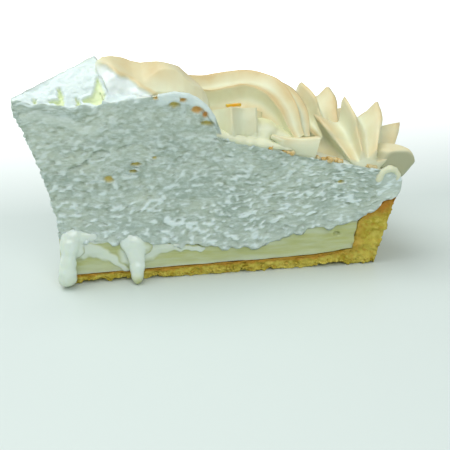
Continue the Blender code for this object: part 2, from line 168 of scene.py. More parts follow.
# Meringue that has run down over the near face, in millimetres:
# (x, y, z, half width, half depth, half height) along each stroke
RUNS = (
    ((5.6, 0.0, 19.2, 3.4, 1.5, 2.0), (4.2, -0.8, 17.0, 3.6, 2.0, 2.8), (3.6, -1.6, 13.6, 3.2, 2.3, 2.8),
     (3.0, -2.3, 9.6, 2.9, 2.4, 2.8), (2.6, -2.8, 6.0, 3.0, 2.6, 2.8), (2.4, -2.8, 3.6, 3.1, 2.5, 2.4),
     (2.3, -2.5, 2.2, 2.6, 2.1, 1.6)),
    ((4.6, -0.1, 16.6, 3.0, 1.6, 3.0), (8.4, 0.1, 17.6, 3.0, 1.3, 2.2), (12.4, 0.2, 17.4, 2.6, 1.0, 1.8),
     (16.4, 0.3, 16.8, 2.2, 0.8, 1.4)),
    ((5.2, -0.6, 13.4, 2.4, 1.6, 3.2), (7.6, 0.1, 13.0, 2.2, 0.8, 2.6), (9.8, 0.4, 13.0, 1.6, 0.5, 2.0)),
    ((24.2, 0.2, 16.2, 3.6, 1.1, 1.8), (25.4, -0.2, 13.8, 4.2, 1.3, 2.8), (26.2, -1.0, 10.4, 3.6, 1.6, 2.8),
     (26.6, -1.8, 7.0, 2.9, 1.8, 2.6), (26.5, -2.6, 4.4, 2.5, 1.9, 2.2), (26.4, -3.1, 2.6, 2.0, 1.9, 1.7),
     (26.2, -3.5, 1.0, 1.3, 1.7, 1.0)),
    ((28.0, 0.1, 12.4, 3.0, 0.9, 2.8), (31.0, 0.3, 12.2, 2.2, 0.6, 2.2)),
)
BLOB_STEP = 0.45  # between the middles of blobs along a stroke

# Piping: a route is (x, y, z, radius) along the middle of a rope
ROSETTE_MIDDLE = (0.0650, 0.0015)
ROSETTE_REACH = (0.0215, 0.0340, 0.0275)  # towards the rim, towards the point and across the slice
ROSETTE_TURNS = (130, 12, 7)  # first and last place round the middle in degrees, and how many
ROSETTE_ROPE = (  # (degrees, radius)
    (12, 0.0045), (35, 0.0094), (60, 0.0124), (90, 0.0130), (130, 0.0130),
)
ROSETTE_LIFT = (  # (degrees, height of the rope's middle above the meringue)
    (12, 0.0030), (35, 0.0098), (60, 0.0120), (90, 0.0080), (110, 0.0036), (130, 0.0006),
)
SHELL_TURN = math.radians(16.5)
SHELL_ROUTE = (
    (0.1075, -0.0100, 0.0335, 0.0030),
    (0.1085, 0.0000, 0.0355, 0.0080),
    (0.1098, 0.0100, 0.0370, 0.0150),
    (0.1100, 0.0190, 0.0385, 0.0212),
    (0.1105, 0.0225, 0.0375, 0.0160),
    (0.1080, 0.0290, 0.0360, 0.0070),
)
CROWN_ROUTE = (
    (0.004, 0.0110, 0.0560, 0.0100),
    (0.016, 0.0140, 0.0608, 0.0154),
    (0.025, 0.0175, 0.0602, 0.0163),
    (0.0350, 0.0135, 0.0578, 0.0172),
    (0.0415, 0.0000, 0.0535, 0.0146),
    (0.038, -0.0160, 0.0480, 0.0120),
)
HEART_ROUTE = (
    (0.0606, 0.0132, 0.0440, 0.0132),
    (0.0606, 0.0128, 0.0500, 0.0134),
    (0.0606, 0.0150, 0.0556, 0.0133),
)
FIN_ROUTE = (
    (0.0745, 0.0020, 0.0500, 0.0008),
    (0.0820, 0.0020, 0.0464, 0.0030),
    (0.0905, 0.0020, 0.0444, 0.0050),
)
LIP_ROUTE = (
    (0.1120, 0.0100, 0.0380, 0.0050),
    (0.1180, 0.0055, 0.0388, 0.0062),
    (0.1225, 0.0030, 0.0378, 0.0062),
    (0.1250, 0.0012, 0.0358, 0.0038),
)
STAR_ROUTE = (
    (0.0800, 0.0460, 0.0360, 0.0120),
    (0.0800, 0.0460, 0.0430, 0.0115),
    (0.0802, 0.0458, 0.0490, 0.0070),
    (0.0805, 0.0455, 0.0535, 0.0010),
)
CROWN_STAR = dict(Flutes=8.0, Depth=0.06, Softness=1.4)
ROSETTE_STAR = dict(Flutes=8.0, Depth=0.24, Softness=0.9)
NEAR_SHELL_STAR = dict(Flutes=10.0, Depth=0.40, Softness=0.95, Phase=math.radians(42))
FAR_SHELL_STAR = dict(Flutes=10.0, Depth=0.40, Softness=0.95, Phase=math.radians(47))
FOOT = (  # white meringue squeezed out under the rosette, given as the runs are
    ((54.6, 2.2, 52.2, 1.4, 2.4, 1.4), (59.0, 2.0, 50.4, 2.0, 2.5, 1.6), (65.0, 2.0, 48.6, 2.2, 2.7, 1.6),
     (71.0, 2.2, 47.4, 2.2, 2.8, 1.6), (76.5, 2.2, 46.4, 1.8, 2.6, 1.3), (81.5, 2.0, 45.2, 1.2, 2.0, 0.9)),
    ((69.0, 9.5, 50.4, 5.2, 6.6, 5.0), (75.0, 10.0, 48.8, 5.2, 6.6, 4.4), (81.0, 9.5, 45.6, 4.5, 6.0, 2.8),
     (88.0, 6.5, 42.8, 3.0, 4.0, 1.7)),
)
CURL = (  # inner curl of the lip, given as the runs are
    ((113.6, 0.6, 33.2, 1.7, 1.5, 1.8), (114.8, 0.4, 35.6, 1.5, 1.4, 1.5),
     (117.2, 0.2, 36.9, 1.4, 1.4, 1.2), (119.8, 0.2, 36.2, 1.1, 1.3, 1.2),
     (121.0, 0.3, 34.2, 1.0, 1.1, 1.2), (120.4, 0.4, 32.6, 0.8, 1.0, 0.8)),
)
ZEST_SIZE = (0.0050, 0.0014, 0.0009)
ZEST_PLACE = Vector((0.0618, 0.0058, 0.0603))
ZEST_TURN = math.radians(8)

# Cuts through the piping, as (place, direction of what is taken off)
CUT_INSET = 0.0004  # how far the piping stops short of the slice's own cut faces
FAR_FACE = Vector((-math.sin(WEDGE), math.cos(WEDGE), 0.0))
NEAR_CUT = (Vector((0, CUT_INSET, 0)), Vector((0, -1, 0)))
FAR_CUT = (Vector((-CUT_INSET * math.sin(WEDGE), -CUT_INSET * math.cos(WEDGE), 0)), FAR_FACE)
RIDGE = (Vector((0.0203, 0.0, 0.0)), Vector((-0.936, -0.353, 0.0)))  # where the torn top meets the crown

# Crown
CROWN_VOXEL = 0.00045
RIDGE_DROP = 0.0026  # how far the crown's top comes down to the ridge
ARCH_SLOPE = 1.5  # how steeply the crown rises from its cut front
ARCH_LOW = 0.0515  # height that the arch's cut doesn't go below
SAG = (  # (x, how far the crown's top lies above its rope there)
    (0.0170, 0.0006), (0.0215, 0.0002), (0.0250, -0.0008), (0.0283, -0.0018), (0.0315, -0.0020),
    (0.0340, -0.0012), (0.0370, -0.0002), (0.0400, 0.0004), (0.0425, 0.0010), (0.0445, 0.0012),
    (0.0470, 0.0004), (0.0490, 0.0),
)
CREASE = (  # (x, z) of the line that its flank is torn below
    (0.0200, 0.0745), (0.0243, 0.0717), (0.0277, 0.0697), (0.0315, 0.0677), (0.0356, 0.0652),
    (0.0370, 0.0640),
)

# Crumbs: (x, z) at both ends of each cluster's edge, and how far they lie into the slice
BROWNED_EDGES = (
    ((0.0700, 0.0475), (0.0742, 0.0464)), ((0.0782, 0.0450), (0.0826, 0.0438)),
    ((0.0905, 0.0421), (0.1000, 0.0400)), ((0.1090, 0.0381), (0.1125, 0.0373)),
)
BROWNED_DEPTHS = (-0.0003, 0.0020)
BASE_EDGES = (
    ((0.0090, 0.0016), (0.0400, 0.0016)), ((0.0400, 0.0016), (0.0800, 0.0022)),
    ((0.0800, 0.0022), (0.1120, 0.0022)),
)
BASE_DEPTHS = (-0.0006, 0.0004)

# Stage
FLOOR_SIZE = 3.0
FLOOR_WHITENS = (0.05, 0.45)  # how far behind the slice the floor starts and ends turning white
LIGHTS = (  # (name, place, size, power)
    ("softbox", (-0.30, 0.10, 0.80), (0.7, 0.7), 5.0),
    ("front_fill", (0.10, -0.80, 0.75), (0.8, 0.6), 4.0),
)
LIGHT_TARGET = Vector((0.0, 0.0, 0.03))
STUDIO_LIGHT = (0.90, 0.97, 0.97, 1.0)
STUDIO_STRENGTH = 0.42
CAMERA_TURN = math.radians(-9.10)
CAMERA_RISE = math.radians(22.0)
CAMERA_TARGET = Vector((-0.014, -0.020, 0.019))
CAMERA_DISTANCE = 0.2472
CAMERA_LENS = 56.0


class SliceSizes(bpy.types.PropertyGroup):
    """Sizes of the surface detail."""

    foam_relief: bpy.props.FloatProperty(
        name="Foam relief",
        description="Height of the bumps on the cut meringue",
        default=0.00032,
        unit="LENGTH",
    )
    crust_relief: bpy.props.FloatProperty(
        name="Crust relief",
        description="Height of the crumb on the pastry",
        default=0.0009,
        unit="LENGTH",
    )
    flute_share: bpy.props.FloatProperty(
        name="Flute depth",
        description="Scales how deep the piped flutes are",
        default=1.0,
        subtype="FACTOR",
    )
    crumbs: bpy.props.IntProperty(
        name="Crumbs", description="How many loose crumbs lie along each edge", default=70
    )


def srgb(red, green, blue):
    """Scene colour of a screen colour given from 0 to 255."""
    return tuple(((value / 255 + 0.055) / 1.055) ** 2.4 for value in (red, green, blue))


def colour(label, note, value):
    """A colour that the sidebar shows."""
    return bpy.props.FloatVectorProperty(
        name=label, description=note, default=value, subtype="COLOR", min=0, max=1
    )


class SliceColours(bpy.types.PropertyGroup):
    """Colours of the finishes."""

    # This colour is greyer than the piped meringue: partly the cut foam's own grey and partly painted shade
    # of the near face.
    foam: colour("Foam", "Cut meringue", srgb(163, 180, 167))
    foam_pale: colour("Pale foam", "Paler patches of the cut meringue", srgb(196, 208, 190))
    # This colour is the white of the foam's raised tufts, partly the foam's own white and partly painted
    # highlight on the bump tops; on the runs it is a painted sheen.
    fleck: colour("Fleck", "Raised tufts of the cut meringue", srgb(226, 240, 238))
    # This colour is painted shade in the pits and folds of the cut meringue.
    recess_shade: colour("Recess", "Deeper places in the cut meringue", srgb(150, 163, 140))
    pocket: colour("Pocket", "Openings in the torn top", srgb(224, 236, 190))
    # This colour is bubbles cut open in the foam, and painted shade in the hollow at the back of the
    # rosette's foot.
    bubble: colour("Bubble", "Bubbles cut open", srgb(206, 200, 118))
    toffee: colour("Toffee", "Bubbles cut open under the browned skin", srgb(222, 168, 96))
    lump: colour("Lump", "Torn flank of the crown", srgb(230, 239, 235))
    shade: colour("Shade", "Underside of the lip", srgb(156, 158, 124))
    piped: colour("Piped", "Untoasted piped meringue", srgb(223, 226, 196))
    toast: colour("Toast", "Lightly browned meringue", srgb(214, 198, 150))
    scorch: colour("Scorch", "Deeper brown on the crests", srgb(200, 172, 124))
    caramel: colour("Caramel", "Browned meringue crumbs", srgb(204, 160, 70))
    lemon: colour("Lemon", "Lemon filling", srgb(184, 190, 122))
    cream: colour("Cream", "Meringue that has run", srgb(222, 234, 222))
    crust: colour("Crust", "Baked pastry", srgb(178, 162, 36))
    crumb: colour("Crumb", "Broken pastry crumb", srgb(212, 198, 88))
    # This colour is the browned edge of the pastry, also used for the painted shade in the low places of
    # the crumb.
    rim: colour("Rim", "Browned edge of the pastry", srgb(180, 122, 14))
    zest: colour("Zest", "Sliver of lemon zest", srgb(240, 172, 10))
    floor: colour("Floor", "Floor under the slice", srgb(214, 224, 220))


def sizes():
    """The sidebar's sizes."""
    return bpy.context.scene.slice_sizes


def tint(name):
    """A finish's colour from the sidebar, with full opacity."""
    return (*getattr(bpy.context.scene.slice_colours, name), 1.0)


# Points worked out in arrays


def between(points, x):
    """The second value of a line of (first, second) points at each x."""
    return np.interp(x, [first for first, second in points], [second for first, second in points])


def ruffle(points, size, seed=0.0):
    """Smooth numbers from about -1 to 1 over bumps of that size, one for each point."""
    return np.array([noise.noise(place) for place in (points / np.array(size) + seed).tolist()])


def ease(value, low, high):
    """0 below low, 1 above high, and smooth between them."""
    share = np.clip((value - low) / (high - low), 0.0, 1.0)
    return share * share * (3 - 2 * share)


def wedge_points(r, u, z):
    """Points at distance r from the pie's middle and height z, u of the way across the slice."""
    turn = math.radians(270) - u * (math.pi - WEDGE)
    tip_x = between(POINT_LEAN, z) + NOSE_RADIUS * (1 + np.cos(turn))
    tip_y = NOSE_RADIUS * (1 + np.sin(turn))
    share = r / PIE_RADIUS
    x = tip_x * (1 - share) + r * np.cos(u * WEDGE)
    y = tip_y * (1 - share) + r * np.sin(u * WEDGE)
    return np.column_stack([x, y, z])


def block_skin(along, across, up):
    """The grid places and faces of a block's whole surface, closed and facing outwards."""
    counts = (len(along), len(across), len(up))
    shell = np.zeros(counts, bool)
    for axis in range(3):
        for end in (0, -1):
            shell[tuple(end if axis == other else slice(None) for other in range(3))] = True
    number = np.full(counts, -1)
    number[shell] = np.arange(shell.sum())
    faces = []
    for axis, far_end_turns in ((0, False), (1, True), (2, False)):
        for end in (0, -1):
            sheet = number.take(end, axis)
            corners = [sheet[:-1, :-1], sheet[1:, :-1], sheet[1:, 1:], sheet[:-1, 1:]]
            quads = np.stack(corners, -1).reshape(-1, 4)
            faces.append(quads if (end == -1) != far_end_turns else quads[:, ::-1])
    i, j, k = np.nonzero(shell)
    return along[i], across[j], up[k], np.concatenate(faces)


# Meshes and pieces


def new_mesh(name, points, faces):
    """A mesh out of arrays."""
    mesh = bpy.data.meshes.new(name)
    mesh.from_pydata(points.tolist(), [], faces.tolist())
    return mesh


def points_of(mesh):
    """The places of a mesh's points."""
    places = np.empty(len(mesh.vertices) * 3, np.float32)
    mesh.vertices.foreach_get("co", places)
    return places.reshape(-1, 3).astype(float)


def normals_of(mesh):
    """Which way each point of a mesh faces."""
    normals = np.empty(len(mesh.vertices) * 3, np.float32)
    mesh.vertices.foreach_get("normal", normals)
    return normals.reshape(-1, 3).astype(float)


def move_points(mesh, points):
    """Put a mesh's points in new places."""
    mesh.vertices.foreach_set("co", points.astype(np.float32).ravel())
    mesh.update()


def numbers_of(mesh, name):
    """The number of that name on each point."""
    values = np.empty(len(mesh.vertices), np.float32)
    mesh.attributes[name].data.foreach_get("value", values)
    return values.astype(float)


def note_numbers(mesh, **numbers):
    """Keep a number from 0 to 1 on each point for the finish to read."""
    for name, values in numbers.items():
        kept = mesh.attributes.get(name) or mesh.attributes.new(name, "FLOAT", "POINT")
        kept.data.foreach_set("value", np.clip(values, 0, 1).astype(np.float32))


def finish_piece(name, mesh, material, slot, *nodes):
    """Put a finished mesh where the slice stands, under the root, in place of its solids."""
    mesh.transform(Matrix.Translation(-REST_POINT))
    mesh.name = name
    mesh.materials.clear()
    mesh.materials.append(material)
    mesh.shade_smooth()
    piece = bpy.data.objects.new(name, mesh)
    bpy.context.scene.collection.objects.link(piece)
    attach(piece, "root")
    if nodes:
        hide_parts(*nodes)
    return piece


def cut_at(mesh, planes):
    """Take off what lies beyond each (place, direction) plane and close the cut."""
    solid = bmesh.new()
    solid.from_mesh(mesh)
    for place, direction in planes:
        everything = solid.verts[:] + solid.edges[:] + solid.faces[:]
        cut = bmesh.ops.bisect_plane(
            solid, geom=everything, plane_co=place, plane_no=direction, clear_outer=True
        )
        edges = [part for part in cut["geom_cut"] if isinstance(part, bmesh.types.BMEdge)]
        if edges:
            bmesh.ops.triangle_fill(solid, edges=edges, use_beauty=True, normal=direction)
    bmesh.ops.recalc_face_normals(solid, faces=solid.faces[:])
    solid.to_mesh(mesh)
    solid.free()


def baked(holder):
    """The plain mesh that an object's modifiers make, with the object then taken away."""
    mesh = bpy.data.meshes.new_from_object(holder.evaluated_get(bpy.context.evaluated_depsgraph_get()))
    bpy.data.objects.remove(holder)
    return mesh


def soften(rough, voxel, smoothing):
    """The mesh again with even points, and with its folds smoothed away."""
    holder = bpy.data.objects.new(rough.name, rough)
    bpy.context.scene.collection.objects.link(holder)
    remesh = holder.modifiers.new("Join", "REMESH")
    remesh.mode = "VOXEL"
    remesh.voxel_size = voxel
    smooth = holder.modifiers.new("Soften", "SMOOTH")
    smooth.factor = 0.6
    smooth.iterations = smoothing
    mesh = baked(holder)
    bpy.data.meshes.remove(rough)
    return mesh


def melt(name, blobs, voxel, smoothing):
    """One smooth closed mesh out of overlapping (x, y, z, width, depth, height) blobs."""
    solid = bmesh.new()
    for x, y, z, width, depth, height in blobs:
        place = Matrix.Translation((x, y, z)) @ Matrix.Diagonal((width, depth, height, 1.0))
        bmesh.ops.create_icosphere(solid, subdivisions=2, radius=1.0, matrix=place)
    rough = bpy.data.meshes.new(name + "_blobs")
    solid.to_mesh(rough)
    solid.free()
    return soften(rough, voxel, smoothing)


# Node trees


def add_node(tree, kind, inputs=(), **settings):
    """A node with its settings made, and its inputs set or linked."""
    node = tree.nodes.new(kind)
    for name, value in settings.items():
        setattr(node, name, value)
    for key, value in dict(inputs).items():
        if isinstance(value, bpy.types.NodeSocket):
            tree.links.new(value, node.inputs[key])
        else:
            node.inputs[key].default_value = value
    return node


def sum_up(tree, operation, first, second=0.0, third=0.0, clamp=False):
    """The outcome of one step of arithmetic in a tree."""
    inputs = {0: first, 1: second, 2: third}
    return add_node(tree, "ShaderNodeMath", inputs, operation=operation, use_clamp=clamp).outputs[0]


def blend(tree, amount, first, second):
    """Two colours mixed by an amount from 0 to 1."""
    inputs = {0: amount, 6: first, 7: second}
    return add_node(tree, "ShaderNodeMix", inputs, data_type="RGBA").outputs[2]


def kept_number(tree, name):
    """The number of that name that the points hold."""
    return add_node(tree, "ShaderNodeAttribute", attribute_name=name).outputs["Fac"]


def grain(tree, scale, detail=4.0, stretch=(1.0, 1.0, 1.0), roughness=0.55):
    """A noise over Object coordinates, from 0 to 1."""
    place = add_node(tree, "ShaderNodeTexCoord").outputs["Object"]
    mapped = add_node(tree, "ShaderNodeMapping", {"Vector": place, "Scale": stretch}).outputs[0]
    inputs = {"Vector": mapped, "Scale": scale, "Detail": detail, "Roughness": roughness}
    return add_node(tree, "ShaderNodeTexNoise", inputs).outputs["Fac"]


def steps(tree, value, low, high):
    """0 below low, 1 above high."""
    inputs = {"Value": value, "From Min": low, "From Max": high}
    return add_node(tree, "ShaderNodeMapRange", inputs).outputs[0]


def new_finish(name):
    """A material with its shader left to be fed."""
    material = bpy.data.materials.new(name)
    material.use_nodes = True
    return material, material.node_tree, material.node_tree.nodes["Principled BSDF"]


def feed(tree, shader, base, bump, bump_height, strength, **fixed):
    """Link colour and bump, and set the shader's other sockets."""
    tree.links.new(base, shader.inputs["Base Color"])
    inputs = {"Height": bump, "Distance": bump_height, "Strength": strength}
    tree.links.new(add_node(tree, "ShaderNodeBump", inputs).outputs[0], shader.inputs["Normal"])
    for name, value in fixed.items():
        shader.inputs[name.replace("_", " ")].default_value = value


def foam_finish():
    """Cut meringue: white tufts, partly painted highlight, over a greyer foam that is partly painted shade,
    with greenish painted shade in the recesses.
    """
    material, tree, shader = new_finish("cut_foam")
    speck = grain(tree, 430.0, 3.0, (1.0, 1.0, 2.3), 0.6)
    fine = grain(tree, 1300.0, 3.0, (1.0, 1.0, 1.8))
    broad = grain(tree, 70.0, 3.0, (1.0, 1.0, 2.0))
    base = blend(tree, steps(tree, broad, 0.35, 0.75), tint("foam"), tint("foam_pale"))
    # Painted shade: darker, towards the recess colour, in the pits and folds.
    base = blend(tree, sum_up(tree, "MULTIPLY", kept_number(tree, "pit"), 0.7), base, tint("recess_shade"))
    # Partly painted highlight: white where the bump noise stands highest and on the raised tufts.
    tufts = sum_up(tree, "MULTIPLY", steps(tree, speck, 0.42, 0.78), 0.70)
    tufts = sum_up(tree, "MAXIMUM", tufts, kept_number(tree, "fleck"))
    base = blend(tree, tufts, base, tint("fleck"))
    base = blend(tree, sum_up(tree, "MULTIPLY", kept_number(tree, "film"), 0.45), base, tint("cream"))
    base = blend(tree, kept_number(tree, "toast"), base, tint("toast"))
    base = blend(tree, kept_number(tree, "gash"), base, tint("pocket"))
    brown = blend(tree, kept_number(tree, "tint"), tint("bubble"), tint("toffee"))
    base = blend(tree, kept_number(tree, "bubble"), base, brown)
    height = sum_up(tree, "MULTIPLY_ADD", fine, 0.35, speck)
    feed(
        tree, shader, base, bump=height, bump_height=0.0006, strength=0.6, Roughness=0.55,
        Subsurface_Weight=0.25, Subsurface_Radius=(1.0, 0.9, 0.7),
        Subsurface_Scale=0.0008, Specular_IOR_Level=0.35,
    )
    return material


def piped_finish():
    """Piped meringue, toasted where the points say so."""
    material, tree, shader = new_finish("piped_meringue")
    fine = grain(tree, 700.0, 4.0)
    broad = grain(tree, 90.0, 3.0)
    toast = sum_up(tree, "MULTIPLY_ADD", steps(tree, broad, 0.3, 0.7), 0.25, -0.125)
    toast = sum_up(tree, "ADD", kept_number(tree, "toast"), toast, clamp=True)
    base = blend(tree, steps(tree, toast, 0.10, 0.65), tint("piped"), tint("toast"))
    base = blend(tree, steps(tree, toast, 0.55, 1.15), base, tint("scorch"))
    # Painted shade: the hollow at the back of the rosette's foot is tinted yellower.
    base = blend(tree, kept_number(tree, "bubble"), base, tint("bubble"))
    base = blend(tree, kept_number(tree, "torn"), base, tint("lump"))
    base = blend(tree, kept_number(tree, "shade"), base, tint("shade"))
    feed(
        tree, shader, base, bump=fine, bump_height=0.00006, strength=0.5, Roughness=0.42,
        Subsurface_Weight=0.30, Subsurface_Radius=(1.0, 0.85, 0.6),
        Subsurface_Scale=0.0015, Specular_IOR_Level=0.4,
    )
    return material


def lemon_finish():
    """Set lemon filling, smooth and a little clear, streaked by the knife."""
    material, tree, shader = new_finish("lemon_filling")
    streak = grain(tree, 120.0, 3.0, (1.0, 1.0, 6.0))
    fine = grain(tree, 500.0, 3.0, (1.0, 1.0, 3.0))
    soft = sum_up(tree, "MULTIPLY", steps(tree, streak, 0.35, 0.85), 0.35)
    base = blend(tree, soft, tint("lemon"), tint("cream"))
    base = blend(tree, kept_number(tree, "pale"), base, tint("cream"))
    feed(
        tree, shader, base, bump=fine, bump_height=0.00008, strength=0.4, Roughness=0.22,
        Subsurface_Weight=0.35, Subsurface_Radius=(1.0, 0.9, 0.4),
        Subsurface_Scale=0.003, Coat_Weight=0.25,
    )
    return material


def cream_finish():
    """Meringue that has run: thick and white, yellower where it is thin."""
    material, tree, shader = new_finish("run_meringue")
    fine = grain(tree, 350.0, 3.0)
    base = blend(tree, kept_number(tree, "thin"), tint("cream"), tint("lemon"))
    sheen = sum_up(tree, "MULTIPLY", steps(tree, fine, 0.5, 0.75), 0.5)
    base = blend(tree, sheen, base, tint("fleck"))
    feed(
        tree, shader, base, bump=fine, bump_height=0.0001, strength=0.4, Roughness=0.2,
        Subsurface_Weight=0.4, Subsurface_Radius=(1.0, 0.9, 0.6),
        Subsurface_Scale=0.002, Coat_Weight=0.4,
    )
    return material


def crust_finish():
    """Shortcrust: golden, mottled, paler where it is broken, brown at the rim, and with painted shade where
    its bump is lowest.
    """
    material, tree, shader = new_finish("shortcrust")
    fine = grain(tree, 650.0, 6.0)
    blotch = grain(tree, 140.0, 4.0)
    base = blend(tree, steps(tree, blotch, 0.35, 0.68), tint("crust"), tint("crumb"))
    broken = sum_up(tree, "MULTIPLY", steps(tree, fine, 0.52, 0.66), 0.85)
    base = blend(tree, broken, base, tint("crumb"))
    base = blend(tree, kept_number(tree, "brown"), base, tint("rim"))
    # Painted shade: darker, towards the rim colour, where the bump noise is lowest.
    crumb_shade = sum_up(tree, "MULTIPLY", steps(tree, fine, 0.46, 0.34), 0.5)
    base = blend(tree, crumb_shade, base, tint("rim"))
    feed(
        tree, shader, base, bump=fine, bump_height=0.0004, strength=0.8, Roughness=0.65,
        Subsurface_Weight=0.15, Subsurface_Radius=(1.0, 0.8, 0.3), Subsurface_Scale=0.0006,
    )
    return material


def crumb_finish():
    """Crumbs of meringue browned to caramel."""
    material, tree, shader = new_finish("browned_crumbs")
    fine = grain(tree, 260.0, 3.0)
    base = blend(tree, steps(tree, fine, 0.40, 0.60), tint("caramel"), tint("toast"))
    feed(tree, shader, base, bump=fine, bump_height=0.0001, strength=0.5, Roughness=0.35)
    return material


def zest_finish():
    """Lemon zest: deep yellow with small pores."""
    material, tree, shader = new_finish("lemon_zest")
    fine = grain(tree, 260.0, 2.0)
    base = blend(tree, steps(tree, fine, 0.45, 0.75), tint("zest"), tint("crumb"))
    feed(tree, shader, base, bump=fine, bump_height=0.0001, strength=0.5, Roughness=0.35)
    return material


def floor_finish():
    """A pale floor that turns white a little way behind the slice."""
    material, tree, shader = new_finish("pale_floor")
    fine = grain(tree, 3.0, 2.0)
    place = add_node(tree, "ShaderNodeTexCoord").outputs["Object"]
    depth = add_node(tree, "ShaderNodeSeparateXYZ", {0: place}).outputs["Y"]
    white = steps(tree, depth, *FLOOR_WHITENS)
    base = blend(tree, white, tint("floor"), (1.0, 1.0, 1.0, 1.0))
    feed(
        tree, shader, base, bump=fine, bump_height=0.0001, strength=0.1, Roughness=0.35,
        Specular_IOR_Level=0.3,
    )
    tree.links.new(white, shader.inputs["Emission Strength"])
    shader.inputs["Emission Color"].default_value = (1.0, 1.0, 1.0, 1.0)
    return material


# Lines on a face


def from_span(points, start, end):
    """Distance of each point from a straight span, and how far along the span it is."""
    start = np.array(start)
    reach = np.array(end) - start
    share = np.clip(((points - start) @ reach) / (reach @ reach), 0, 1)
    return np.linalg.norm(points - start - share[:, None] * reach, axis=1), share


def from_line(points, route):
    """Distance of each (x, z) point from a bent line."""
    return np.min([from_span(points, *ends)[0] for ends in zip(route, route[1:])], axis=0)


def within_line(points, route):
    """Distance of each point from a bent line, over the half width that the line has there."""
    spans = []
    for first, second in zip(route, route[1:]):
        away, share = from_span(points, first[:2], second[:2])
        spans.append(away / (first[2] + (second[2] - first[2]) * share))
    return np.min(spans, axis=0)


def within_any(points, routes, inner):
    """1 inside any of the lines, from that share of the half width smooth down to 0 at its edge."""
    return np.max([1 - ease(within_line(points, route), inner, 1.0) for route in routes], axis=0)


# Cut meringue


def meringue_floor(r):
    """Height that the meringue starts at, on the filling or on the pastry wall."""
    pastry = between(PASTRY_INSIDE + PASTRY_OUTSIDE[-1:], r)
    return np.where(r <= FILLING_END, between(FILLING_TOP, r), pastry) + GAP


def meringue_top(r, u):
    """Height of the meringue under its piping: domed, and torn up to a slope at the point."""
    torn = np.clip(1 - (r - TORN_END) / TORN_FADE, 0, 1)
    climb = (r - TORN_START) / (TORN_END - TORN_START)
    bulge = TORN_BULGE * np.sin(np.pi * u) * ease(r, 0.004, TORN_END)
    return between(MERINGUE_TOP, r) + torn * (TORN_RISE * u * climb + bulge)


def near_edge_rise(r, u):
    """How far the near cut edge stands above that at the crown, which was sliced through."""
    x = r * (1 - TOP_LEAN / PIE_RADIUS) + TOP_LEAN
    inwards = u * r * WEDGE
    above = np.maximum(between(NEAR_EDGE, x) - between(MERINGUE_TOP, r), 0)
    return above * ease(-inwards, -0.0050, -0.0022)


def overhang(points):
    """How far down the meringue hangs over the filling, in lobes."""
    lobes = 0.0016 * ease(ruffle(points, (0.0055, 1.0, 1.0), 71.0), -0.05, 0.45)
    lobes += 0.0006 * ruffle(points, 0.0022, 72.0)
    return lobes + between(OVERLAP, points[:, 0])


def foam_waves(points):
    """Long, middling and small waves that lie along the foam, and its tufts and pits."""
    flow = points.copy()
    flow[:, 2] += 0.0030 * ruffle(points, 0.020)
    flow[:, 2] -= 0.10 * points[:, 0]
    long = ruffle(flow, (0.0060, 0.0060, 0.0022), 3.1)
    streak = ruffle(flow, (0.0030, 0.0030, 0.0011), 7.3)
    small = ruffle(flow, (0.0015, 0.0015, 0.0007), 11.9)
    tufts = ease(ruffle(flow, (0.0026, 0.0026, 0.0015), 21.7) + 0.45 * small, -0.04, 0.52)
    pits = ease(-ruffle(flow, (0.0026, 0.0026, 0.0012), 31.3) - 0.3 * small, 0.20, 0.60)
    return long, streak, small, tufts, pits


def pale_rind(points, t, tufts):
    """Where the cut foam is paler: along its lower edge, its rim end and its top edge."""
    rind = np.maximum((1 - t) ** 9, ease(points[:, 0], 0.1100, 0.1170))
    top_edge = ease(t, 0.965, 0.99) * ease(-points[:, 0], -0.0340, -0.0300)
    return np.maximum(rind, top_edge) * (0.30 + 0.70 * tufts)


def arch_band(points, near, below_edge, long):
    """The smooth white band under the crown's cut arch."""
    arch = np.where(near, ease(points[:, 0], 0.0340, 0.0365), 0) * ease(-points[:, 0], -0.0552, -0.0545)
    return arch * (1 - ease(below_edge + 0.0005 * long, 0.0026, 0.0040))


def smooth_film(points, near):
    """The smooth film near the point."""
    away = from_line(points[:, (0, 2)], FILM) + 0.0010 * ruffle(points, 0.0045, 43.0)
    return np.where(near, 1 - ease(away, 0.0002, 0.0022), 0)


def open_bubbles(points, z, near):
    """Bubbles cut open on the near face: 1 inside them, their tint and how far they move the face."""
    bubble = np.zeros(len(points))
    shade = np.zeros(len(points))
    rise = np.zeros(len(points))
    uneven = 0.3 * ruffle(points, 0.0013, 47.0)
    for x, height, half_width, half_height, brown in HOLES:
        away = np.hypot((points[:, 0] - x) / half_width, (z - height) / half_height) + uneven
        inside = np.where(near, 1 - ease(away, 0.65, 1.35), 0)
        bubble = np.maximum(bubble, inside)
        shade = np.where(inside > 0.02, brown, shade)
        rise += HOLE_LIP * np.where(near, np.exp(-((away - 1.5) / 0.35) ** 2), 0) - HOLE_DEPTH * inside
    return bubble, shade, rise


def near_folds(points, near):
    """1 in the folds on the near face."""
    away = np.min([from_line(points[:, (0, 2)], route) for route in FOLDS], axis=0)
    return np.where(near, np.exp(-((away / FOLD_WIDTH) ** 2)), 0)


def torn_lumps(points, u):
    """How far the lumps of the torn top move it."""
    lumps = 0.0013 * ruffle(points, (0.0075, 0.0065, 0.0075), 5.5) + 0.0007 * ruffle(points, 0.0028, 9.1)
    lumps += 0.00035 * ruffle(points, 0.0013, 15.2)
    return lumps * ease(-u, -1.0, -0.85) - 0.0004


